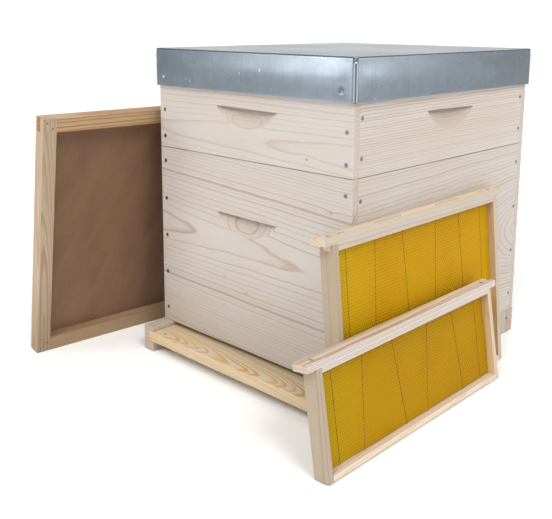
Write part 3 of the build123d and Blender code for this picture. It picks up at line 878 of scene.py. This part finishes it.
def roof_mesh(wave):
    """The folded tray: a sheet with two faces, bent and slotted corners, dimples and turned-in ears."""
    box_low, box_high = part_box("roof_sheet")
    roof = Roof(*(size / MM for size in (box_high.x, box_high.y, box_low.z, box_high.z, wave)))
    shape = bmesh.new()
    rubbed = shape.verts.layers.float.new(RUBBED_AND_HIGHLIGHT)
    outer, heights, in_slot = sheet_rings(shape, roof, 0.0)
    inner = sheet_rings(shape, roof, SHEET)[0]
    # The lower edge and the fold painted bright: partly wear, partly painted highlight
    for level, wear_and_highlight in ((0, FOOT_WEAR_AND_HIGHLIGHT), (SKIRT_STEPS + 2, FOLD_WEAR_AND_HIGHLIGHT), (SKIRT_STEPS + 3, FOLD_WEAR_AND_HIGHLIGHT)):
        for corner in outer[level]:
            corner[rubbed] = wear_and_highlight
    count, levels = len(outer[0]), len(outer) - 1
    slot_top = roof.high - SLOT_END
    kept = {
        (level, i) for level in range(levels) for i in range(count)
        if not (in_slot[i] and heights[level + 1] < slot_top)
    }
    for level, i in kept:
        j, above = (i + 1) % count, level + 1
        shape.faces.new((outer[level][i], outer[level][j], outer[above][j], outer[above][i]))
        shape.faces.new((inner[level][i], inner[above][i], inner[above][j], inner[level][j]))
        edges = (
            ((level - 1, i), (level, i), (level, j)),
            ((level, j), (level, j), (above, j)),
            ((level, (i - 1) % count), (above, i), (level, i)),
            ((above, i), (above, j), (above, i)),
        )
        for beyond, a, b in edges:
            if beyond not in kept and beyond[0] < levels:
                from_a, from_b = ((outer[row][place], inner[row][place]) for row, place in (a, b))
                shape.faces.new((from_b[0], *from_a, from_b[1]))
    shape.faces.new(outer[-1])
    shape.faces.new(inner[-1][::-1])
    for corner in CORNERS:
        add_ear(shape, roof, *corner)
        add_slot_lips(shape, rubbed, roof, *corner)
    bmesh.ops.recalc_face_normals(shape, faces=shape.faces)
    return to_mesh("roof_folded_sheet_mesh", shape)


def add_ear(shape, roof, across, onward):
    """The doubled, three-cornered ear of spare sheet inside a corner of the front or back skirt."""
    side = roof.half_x - BEND
    outline = ((side, roof.low), (side - EAR, roof.low), (side, roof.low + EAR))
    front, back = (
        [shape.verts.new(Vector((x * across, depth * onward, z)) * MM) for x, z in outline]
        for depth in (roof.half_y - SHEET, roof.half_y - SHEET - EAR_THICK)
    )
    shape.faces.new(front)
    shape.faces.new(back[::-1])
    for i in range(3):
        j = (i + 1) % 3
        shape.faces.new((front[i], front[j], back[j], back[i]))


def add_slot_lips(shape, rubbed, roof, across, onward):
    """The rolled lips around the slot at a corner, painted bright partly as wear and partly as painted
    highlight, and the turned-in sheet behind it.
    """
    middle = Vector(((roof.half_x - BEND) * across, (roof.half_y - BEND) * onward, roof.low))
    out = Vector((across, onward, 0)).normalized()
    turn = Matrix((Z.cross(out), out, Z)).transposed().to_4x4()
    place = Matrix.Scale(MM, 4) @ Matrix.Translation(middle) @ turn
    face, slot = BEND - 0.30, roof.high - roof.low - SLOT_END
    bends = [pi * i / 8 for i in range(9)]
    arch = [(HALF_SLOT * cos(bend), face, slot + HALF_SLOT * (sin(bend) - 1)) for bend in bends]
    lips = tube_mesh("roof_lips", [(HALF_SLOT, face, LIP), *arch, (-HALF_SLOT, face, LIP)], LIP)
    lips.transform(place)
    before = len(shape.verts)
    shape.from_mesh(lips)
    shape.verts.ensure_lookup_table()
    for corner in shape.verts[before:]:
        corner[rubbed] = LIP_WEAR_AND_HIGHLIGHT
    bpy.data.meshes.remove(lips)
    behind = bmesh.ops.create_cube(shape, size=1.0)["verts"]
    size = Matrix.Diagonal((4.4, 0.5, slot, 1))
    centre = Matrix.Translation((0, BEND - 1.6, slot / 2))
    bmesh.ops.transform(shape, matrix=place @ centre @ size, verts=behind)


def wax_mesh(name, width, height, thick, look):
    """A pressed sheet on a lattice of cell middles and corners, hollow on both faces in turn."""
    side = look.cell / sqrt(3)
    columns = int(width / (look.cell / 2) / 2) * 2
    rows = int(height / side)
    middle, corner, other = -look.hollow, look.ridge, 0.4 * look.ridge
    corners, index = [], {}
    for face, relief in ((-1, (middle, corner, other)), (1, (corner, middle, other))):
        for i in range(columns + 1):
            x = -width / 2 + i * width / columns
            for k in range(rows + 2):
                z = min(max((k - 0.5 * (i % 2)) * side, 0.0), height)
                on_edge = i in (0, columns) or z in (0.0, height)
                lift = 0.0 if on_edge else relief[(k - (i + 1) // 2 - i) % 3]
                if z == 0.0:
                    z += look.edge_wave * (0.5 + noise.noise(Vector((x * 14, 0.3, 7.7))))
                index[face, i, k] = len(corners)
                corners.append((x, face * (thick / 2 + lift), z))
    faces = []
    for face in (-1, 1):
        for i in range(columns):
            for k in range(rows + 1):
                a, b = index[face, i, k], index[face, i, k + 1]
                c, d = index[face, i + 1, k], index[face, i + 1, k + 1]
                pair = [(a, c, b), (b, c, d)] if i % 2 else [(a, c, d), (a, d, b)]
                faces += pair if face < 0 else [three[::-1] for three in pair]
    rim = [(i, 0) for i in range(columns)] + [(columns, k) for k in range(rows + 1)]
    rim += [(i, rows + 1) for i in range(columns, 0, -1)] + [(0, k) for k in range(rows + 1, 0, -1)]
    for here, there in zip(rim, rim[1:] + rim[:1]):
        faces.append((index[1, *here], index[1, *there], index[-1, *there], index[-1, *here]))
    shape = bmesh.new()
    made = [shape.verts.new(each) for each in corners]
    for face in faces:
        shape.faces.new([made[i] for i in face])
    bmesh.ops.remove_doubles(shape, verts=shape.verts, dist=2 * JOIN)
    bmesh.ops.dissolve_degenerate(shape, edges=shape.edges, dist=2 * JOIN)
    return to_mesh(name, shape)


def wire_route(feet, tops, tail, depth, low, high):
    """One wire's way: along the top bar, down and up in six strands, and along the top bar again."""
    pairs = list(zip(feet, tops))
    strands = [(-foot, -top) for foot, top in pairs] + pairs[::-1]
    route = [(-tail, depth, high)]
    for turn, (foot, top) in enumerate(strands):
        ends = [(foot, depth, low), (top, depth, high)]
        route += ends if turn % 2 else ends[::-1]
    return route + [(tail, depth, high)]


def tube_mesh(name, route, radius):
    """A round wire along a route of straight runs."""
    line = bpy.data.curves.new(name, "CURVE")
    line.dimensions = "3D"
    line.bevel_depth = radius
    line.bevel_resolution = 2
    line.use_fill_caps = True
    run = line.splines.new("POLY")
    run.points.add(len(route) - 1)
    for point, place in zip(run.points, route):
        point.co = (*place, 1)
    holder = bpy.data.objects.new(name, line)
    mesh = bpy.data.meshes.new_from_object(holder)
    bpy.data.objects.remove(holder)
    bpy.data.curves.remove(line)
    return mesh


# How the boards and bars of this hive were sawn
BOX_GRAIN = {
    # The brood front's foot value paints shade and warm bounce light along its lowest part
    "brood_front_board": Grain(
        177, 59, -0.043, 0.029, 7.73, 0.00189, 0.36, 0.28, 0.9, 4.0,
        knots=(((-51, 119), 1.6), ((0, 101), 1.6), ((176, 265), 2.2)), inwards=2.6, tone=0.965, foot=0.26,
    ),
    "super_front_board": Grain(
        36, 35, -0.024, -0.024, 13.7, 0.0137, 0.78, 0.24, 0.75, 4.0, knots=(((128, 18), 2.6),), inwards=4.5
    ),
    "brood_right_board": Grain(
        155, 100, 0.0, -0.03, 5.6, 0.0, 0.0, 0.34, 0.95, 7.0, swirls=(((245, 160), (75, 85), 26),),
        inwards=2.0, tone=0.95,
    ),
    "super_right_board": Grain(150, 60, 0.01, 0.004, 3.3, 0.0, 0.0, 0.46, 0.9, 3.0, inwards=3.4),
    "brood_back_board": Grain(90, 70, 0.02, -0.03, 7.2, 0.0015, 0.0, 0.28, 0.8, 5.0),
    "super_back_board": Grain(120, 55, 0.015, 0.03, 8.0, 0.004, 0.0, 0.26, 0.8, 5.0),
    "brood_left_board": Grain(240, 60, -0.02, 0.025, 6.6, 0.0015, 0.0, 0.30, 0.8, 5.0),
    "super_left_board": Grain(60, 140, 0.01, -0.01, 4.2, 0.0, 0.0, 0.36, 0.7, 4.0),
}
DECK_GRAIN = {
    "landing_board": Grain(11, 33, 0.0, 0.085, 3.0, 0.002, 0.1, 0.58, 1.8, 6.5),
    "floor_board_1": Grain(70, 40, 0.01, 0.05, 5.0, 0.002, 0.0, 0.45, 0.9, 4.0),
    "floor_board_2": Grain(40, 36, 0.0, -0.06, 4.5, 0.002, 0.0, 0.45, 0.9, 4.0),
    "floor_board_3": Grain(95, 50, -0.02, 0.04, 5.5, 0.001, 0.0, 0.45, 0.9, 4.0),
}
RUNNER_GRAIN = Grain(140, 60, 0.02, 0.01, 3.4, 0.0, 0.0, 0.4, 0.6, 4.0)
# The bottom rail's and the near stile's darker tones, and the stile's foot, are painted shade on faces
# turned to the hive
CROWN_GRAIN = {
    "stile_near": Grain(20, 9, 0.03, 0.05, 4.6, 0.0, 0.0, 0.5, 0.8, 5.0, tone=0.90, foot=0.5),
    "stile_far": Grain(90, 30, 0.0, 0.02, 4.2, 0.0, 0.0, 0.45, 0.7, 4.0),
    "rail_bottom": Grain(70, 18, 0.0, 0.01, 5.0, 0.0, 0.0, 0.5, 0.55, 4.0, tone=(0.64, 0.545, 0.445)),
    "rail_top": Grain(
        -34, 10, 0.01, 0.0, 6.6, 0.0, 0.3, 0.62, 1.2, 2.0, tone=(0.95, 0.84, 0.69), ends=(0.66, 0.46, 0.36)
    ),
}
HANGING_GRAIN = Grain(60, 50, 0.004, 0.006, 4.4, 0.0, 0.0, 0.4, 0.7, 3.0)
# The brood top bar's light tone with a darker outer face paints a lit top and a shaded face; the far side
# bars' yellow tone is painted bounce light from the wax, which their face tints keep off their outer faces
BAR_GRAIN = {
    "brood_frame_top_bar": Grain(
        -30, 40, 0.004, 0.01, 5.2, 0.0, 0.0, 0.42, 0.45, 2.5,
        tone=(1.25, 1.2, 1.14), face=(0.75, 0.81, 0.90),
    ),
    "brood_frame_side_bar_near": Grain(
        -30, 25, 0.01, 0.01, 7.5, 0.0, 0.0, 0.35, 0.7, 2.5, tone=(0.74, 0.69, 0.60)
    ),
    "brood_frame_side_bar_far": Grain(
        40, 20, 0.01, 0.01, 4.2, 0.0, 0.0, 0.35, 0.8, 2.5, tone=(1.0, 0.85, 0.55), face=(0.95, 1.1, 1.6)
    ),
    "brood_frame_bottom_bar": Grain(34, 12, 0.0, 0.02, 5.4, 0.0, 0.0, 0.45, 0.6, 3.0, tone=1.25),
    "super_frame_top_bar": Grain(
        -40, 12, 0.006, 0.0, 3.2, 0.0, 0.0, 0.44, 1.5, 2.0, tone=1.15, face=(0.95, 1.03, 1.2)
    ),
    "super_frame_side_bar_near": Grain(
        -22, 8, 0.015, 0.01, 5.6, 0.0, 0.0, 0.40, 1.1, 2.5, tone=(0.76, 0.72, 0.655)
    ),
    "super_frame_side_bar_far": Grain(
        40, 20, 0.01, 0.01, 4.2, 0.0, 0.0, 0.35, 0.8, 2.5, tone=(1.15, 1.02, 0.75), face=(0.95, 1.07, 1.4)
    ),
    "super_frame_bottom_bar": Grain(10, 14, 0.0, 0.05, 4.4, 0.0, 0.0, 0.5, 0.6, 4.0, tone=1.3),
}
BAR_SEEDS = 70, 71, 72, 73, 77, 78, 79, 80
WALL_WAYS = {"front": X, "right": Y, "back": -X, "left": -Y}
RUNNER_WAYS = {"floor_runner_left": Y, "floor_runner_right": Y, "floor_rear_bar": X, "floor_rear_foot": X}
HANGING_WAYS = {"top_bars": (Y, Z), "side_bars": (Z, Y), "bottom_bars": (Y, Z)}
GRIP_RISE = {"brood": 226.0, "super": 82.0}
# Of each frame outside: how dark its wax is, and how far its wire lies below its top bar
SHEET_DEPTH = {"brood_frame": 1.0, "super_frame": 0.82}
WIRE_SUNK = {"brood_frame": 0.0, "super_frame": 2.0 * MM}


# The studio, in metres. Ways point from the hive to what is seen there. The wall behind the hive is
# white, and two parts of the surroundings are dim because the roof's sides mirror them.
BEHIND, FAR_LEFT, FAR_RIGHT = (-0.69, 0.72, 0.0), (-0.707, -0.707, 0.0), (0.574, 0.819, 0.0)
DIMMED = 0.55
FLOOR_HALF = 60.0
KEY_WAYS = {"front_key": (0.30, -0.954, 1.10), "side_key": (0.954, -0.30, 1.0)}
KEY_FAR = 3
Glint = namedtuple("Glint", "size place aim")
GLINTS = {
    "front_glint": Glint(0.7, Vector((-1.35, -2.15, 0.70)), Vector((0.2, -0.25, 0.5))),
    "side_glint": Glint(0.9, Vector((2.00, 1.62, 0.75)), Vector((0.2, -0.2, 0.5))),
    "corner_glint": Glint(0.35, Vector((1.05, -1.45, 0.42)), Vector((0.22, -0.25, 0.5))),
}


def add_world(look):
    """Soft light all round: a dome, a white band at eye level, and a white wall behind the hive."""
    world = bpy.data.worlds.new("studio")
    world.use_nodes = True
    bpy.context.scene.world = world
    s = Nodes(world.node_tree)
    way = s.node("TexCoord").outputs["Generated"]
    height = s.split(way)[2]
    behind = s.span(s.dot(way, BEHIND), 0.40, 0.85)
    dome = s.span(height, 0.30, 0.85, look.sky_low, look.sky_high)
    band = s.times(s.span(height, 0.16, 0.32, 1.0, 0.0), s.math("SUBTRACT", 1.0, behind))
    strip = s.add(s.span(height, 0.03, 0.09, 1.0, 0.90), s.span(height, 0.12, 0.30, 0.0, 0.45))
    wall = s.times(strip, behind, s.span(height, 0.45, 0.80, 1.0, 0.0))
    band = s.times(s.add(band, wall), look.backdrop - look.sky_low)
    far_left = s.span(s.dot(way, FAR_LEFT), 0.78, 0.93)
    far_right = s.span(s.dot(way, FAR_RIGHT), 0.955, 0.985)
    mirrored = s.math("MAXIMUM", far_left, far_right)
    left = s.span(mirrored, 0.0, 1.0, 1.0, DIMMED, smooth=False)
    sky = world.node_tree.nodes["Background"]
    sky.inputs["Color"].default_value = (1, 1, 1, 1)
    s.feed(sky.inputs["Strength"], s.times(s.add(dome, band), left))


def add_floor(look):
    """A wide, pale, almost even floor."""
    mesh = bpy.data.meshes.new("studio_floor_mesh")
    mesh.from_pydata([(x * FLOOR_HALF, y * FLOOR_HALF, 0) for x, y in CORNERS], [], [(0, 1, 2, 3)])
    ground = bpy.data.objects.new("studio_floor", mesh)
    bpy.context.scene.collection.objects.link(ground)
    s = Shader("studio_floor_paint")
    cloud = s.noise(s.place, 1 / 3, detail=3.0)
    tone = s.mix(s.span(cloud, 0.3, 0.7), look.floor, [0.985 * part for part in look.floor])
    paint(ground, s.finish({"Base Color": tone, "Roughness": s.span(cloud, 0.3, 0.7, 0.75, 0.85)}))


def add_lamp(name, kind, energy, place, back):
    """A lamp at a place, with its back to a way."""
    light = bpy.data.lights.new(name, kind)
    light.energy = energy
    lamp = bpy.data.objects.new(name, light)
    lamp.location = place
    lamp.rotation_euler = back.to_track_quat("Z", "Y").to_euler()
    bpy.context.scene.collection.objects.link(lamp)
    return lamp


def add_camera(look):
    lens = bpy.data.cameras.new("camera")
    lens.lens, lens.sensor_width, lens.shift_y = look.lens, 36.0, look.rise
    camera = bpy.data.objects.new("camera", lens)
    aim = Matrix.Rotation(look.yaw, 4, "Z") @ Matrix.Rotation(pi / 2 - look.pitch, 4, "X")
    aim = aim @ Matrix.Rotation(look.roll, 4, "Z")
    camera.matrix_world = Matrix.Translation(look.camera_place) @ aim
    bpy.context.scene.collection.objects.link(camera)
    bpy.context.scene.camera = camera


# Operators

class HIVE_OT_boxes(bpy.types.Operator):
    """Saw, plane and round the boards of the brood box and the honey super"""

    bl_idname = "hive.boxes"
    bl_label = "Box boards"

    def execute(self, context):
        look = context.scene.hive_wood
        tones = look.box_pale, look.box_line
        for seed, (node, grain) in enumerate(BOX_GRAIN.items()):
            box, wall, _ = node.split("_")
            rise = GRIP_RISE[box]
            finish_board(node, WALL_WAYS[wall], Z, grain, tones, seed, look.board_edge, grip=rise)
        return {"FINISHED"}


class HIVE_OT_floor(bpy.types.Operator):
    """Give the runners, the deck and the bars of the floor their wood"""

    bl_idname = "hive.floor"
    bl_label = "Floor boards"

    def execute(self, context):
        look = context.scene.hive_wood
        tones = look.deck_pale, look.deck_line
        for seed, (node, grain) in enumerate(DECK_GRAIN.items(), start=20):
            finish_board(node, X, Y, grain, tones, seed, look.board_edge)
        tones = look.runner_pale, look.box_line
        for seed, (node, along) in enumerate(RUNNER_WAYS.items(), start=30):
            finish_board(node, along, Z, RUNNER_GRAIN, tones, seed, look.board_edge)
        return {"FINISHED"}


class HIVE_OT_crown_board(bpy.types.Operator):
    """Give the crown board's frame its wood and its panel a plywood veneer"""

    bl_idname = "hive.crown_board"
    bl_label = "Crown board"

    def execute(self, context):
        look, axes = context.scene.hive_wood, crown_axes
        tones = look.crown_pale, look.crown_line
        ways = {"stile": (axes.up, -axes.along), "rail": (axes.along, axes.up)}
        for seed, (member, grain) in enumerate(CROWN_GRAIN.items(), start=40):
            kind = member.split("_")[0]
            finish_board(f"crown_{member}", *ways[kind], grain, tones, seed, look.bar_edge)
        paint(nodes["crown_panel"], plywood("crown_panel_plywood", "crown_panel", axes, look))
        soften("crown_panel", look.bar_edge)
        return {"FINISHED"}


class HIVE_OT_hanging_frames(bpy.types.Operator):
    """Give the frames inside the boxes their wood and wax, and the rests their steel"""

    bl_idname = "hive.hanging_frames"
    bl_label = "Frames in the boxes"

    def execute(self, context):
        look, metals = context.scene.hive_wood, context.scene.hive_metal
        tones = look.frame_pale, look.frame_line
        sheet = wax("hanging_wax", context.scene.hive_wax)
        steel = metal("rest_steel", metals.steel, metals.zinc_dark, 1.2, 0.34, 0.02)
        for box, first in (("brood", 50), ("super", 55)):
            for seed, (bars, ways) in enumerate(HANGING_WAYS.items(), start=first):
                node = f"{box}_{bars}"
                finish_board(node, *ways, HANGING_GRAIN, tones, seed, look.bar_edge, island=True)
            paint(nodes[f"{box}_foundations"], sheet)
            for node in (f"{box}_rest_front", f"{box}_rest_back"):
                paint(nodes[node], steel)
                soften(node, REST_EDGE)
        return {"FINISHED"}


class HIVE_OT_leaning_frames(bpy.types.Operator):
    """Give the bars of the two frames outside the hive their wood"""

    bl_idname = "hive.leaning_frames"
    bl_label = "Frames outside"

    def execute(self, context):
        look = context.scene.hive_wood
        tones = look.frame_pale, look.frame_line
        for seed, (node, grain) in zip(BAR_SEEDS, BAR_GRAIN.items()):
            axes = frame_axes[node.split("_")[0] + "_frame"]
            ways = (axes.up, axes.along) if "side" in node else (axes.along, axes.up)
            finish_board(node, *ways, grain, tones, seed, look.bar_edge)
        return {"FINISHED"}


class HIVE_OT_wax_sheets(bpy.types.Operator):
    """Press the wax sheets of the two frames outside the hive and thread their wires"""

    bl_idname = "hive.wax_sheets"
    bl_label = "Wax sheets and wires"

    def execute(self, context):
        look, steel = context.scene.hive_wax, context.scene.hive_metal
        dull = metal("wire_steel", steel.wire_tone, half(steel.wire_tone), 0.8, 0.42, 0.01)
        for name, axes in frame_axes.items():
            node, wires, staples = (f"{name}_{piece}" for piece in ("foundation", "wires", "staples"))
            ends = (reach(node, way) for way in (axes.along, axes.up, axes.out))
            width, height, thick = (high - low for low, high in ends)
            foot = axes.middle - axes.up * (height / 2 + look.slip)
            turn = Matrix((axes.along, -axes.out, axes.up)).transposed().to_4x4()
            place = Matrix.Translation(foot) @ turn
            low = reach(wires, axes.up)[0] + steel.wire / 2 - foot.dot(axes.up)
            high = reach(f"{name}_top_bar", axes.up)[1] - WIRE_SUNK[name] - foot.dot(axes.up)
            marks = steel.wire_feet, steel.wire_tops, low, high
            finish = wax(f"{name}_wax", look, marks, SHEET_DEPTH[name])
            sheet = wax_mesh(f"{name}_wax_mesh", width, height + look.slip, thick, look)
            add_piece(f"{name}_wax", sheet, finish, node, place, smooth=False)
            first, last = reach(wires, axes.along)
            route = wire_route(steel.wire_feet, steel.wire_tops, (last - first) / 2, -thick / 2, low, high)
            wire = tube_mesh(f"{name}_wire_mesh", route, steel.wire / 2)
            add_piece(f"{name}_wire", wire, dull, wires, place)
            paint(nodes[staples], metal(f"{name}_staple_steel", steel.steel, steel.screw, 0.8, 0.34, 0.01))
            soften(staples, STAPLE_EDGE)
        return {"FINISHED"}


class HIVE_OT_fasteners(bpy.types.Operator):
    """Drive the screws of the boxes and the floor, and the nails of the crown board"""

    bl_idname = "hive.fasteners"
    bl_label = "Screws and nails"

    def execute(self, context):
        look = context.scene.hive_metal
        dark = metal("screw_zinc", look.screw, half(look.screw), 0.6, 0.30, 0.02, shaded=True)
        dull = metal("nail_steel", look.nail, half(look.nail), 0.5, 0.36, 0.02, shaded=True)
        for group in ("brood", "super", "floor"):
            node = f"{group}_screws"
            mesh = fastener_mesh(node, screw_shape, look.screw_head, look.screw_shank)
            add_piece(f"{group}_screw_set", mesh, dark, node, smooth=False)
        mesh = fastener_mesh("crown_nails", nail_shape, look.nail_head, look.nail_shank)
        add_piece("crown_nail_set", mesh, dull, "crown_nails")
        return {"FINISHED"}


class HIVE_OT_roof(bpy.types.Operator):
    """Fold the galvanised sheet roof"""

    bl_idname = "hive.roof"
    bl_label = "Sheet roof"

    def execute(self, context):
        look = context.scene.hive_metal
        mesh = roof_mesh(look.sheet_wave)
        mesh.set_sharp_from_angle(angle=SHARP)
        zinc = galvanised("roof_zinc", look)
        add_piece("roof_folded_sheet", mesh, zinc, "roof_sheet")
        return {"FINISHED"}


class HIVE_OT_stage(bpy.types.Operator):
    """Set up the pale floor, the soft light and the camera"""

    bl_idname = "hive.stage"
    bl_label = "Studio"

    def execute(self, context):
        look = context.scene.hive_stage
        context.scene.view_settings.view_transform = "Standard"
        add_world(look)
        add_floor(look)
        for name, way in KEY_WAYS.items():
            lamp = add_lamp(name, "SUN", getattr(look, name), KEY_FAR * Vector(way), Vector(way))
            lamp.data.angle = look.softness
        for name, (size, place, aim) in GLINTS.items():
            lamp = add_lamp(f"{name}_lamp", "AREA", getattr(look, name), place, place - aim)
            lamp.data.shape, lamp.data.size = "DISK", size
            lamp.visible_camera = False
        add_camera(look)
        return {"FINISHED"}


class HIVE_PT_finishes(bpy.types.Panel):
    """Pieces and settings of the hive"""

    bl_idname = "HIVE_PT_finishes"
    bl_label = "Hive"
    bl_space_type = "VIEW_3D"
    bl_region_type = "UI"
    bl_category = "Hive"

    def draw(self, context):
        for step in STEPS:
            self.layout.operator(step.bl_idname)
        for group in SETTINGS:
            column = self.layout.column(align=True)
            settings = getattr(context.scene, group)
            for name in settings.bl_rna.properties.keys():
                if name not in ("rna_type", "name"):
                    column.prop(settings, name)


STEPS = (
    HIVE_OT_boxes,
    HIVE_OT_floor,
    HIVE_OT_crown_board,
    HIVE_OT_hanging_frames,
    HIVE_OT_leaning_frames,
    HIVE_OT_wax_sheets,
    HIVE_OT_fasteners,
    HIVE_OT_roof,
    HIVE_OT_stage,
)
SETTINGS = {
    "hive_wood": HiveWood, "hive_metal": HiveMetal, "hive_wax": HiveWax, "hive_stage": HiveStage
}


def register():
    for kind in (*SETTINGS.values(), *STEPS, HIVE_PT_finishes):
        bpy.utils.register_class(kind)
    for name, kind in SETTINGS.items():
        setattr(bpy.types.Scene, name, PointerProperty(type=kind))


def unregister():
    for name in SETTINGS:
        delattr(bpy.types.Scene, name)
    for kind in (HIVE_PT_finishes, *STEPS[::-1], *SETTINGS.values()):
        bpy.utils.unregister_class(kind)


def main():
    register()
    bpy.ops.hive.boxes()
    bpy.ops.hive.floor()
    bpy.ops.hive.crown_board()
    bpy.ops.hive.hanging_frames()
    bpy.ops.hive.leaning_frames()
    bpy.ops.hive.wax_sheets()
    bpy.ops.hive.fasteners()
    bpy.ops.hive.roof()
    bpy.ops.hive.stage()


if __name__ == "__main__":
    main()
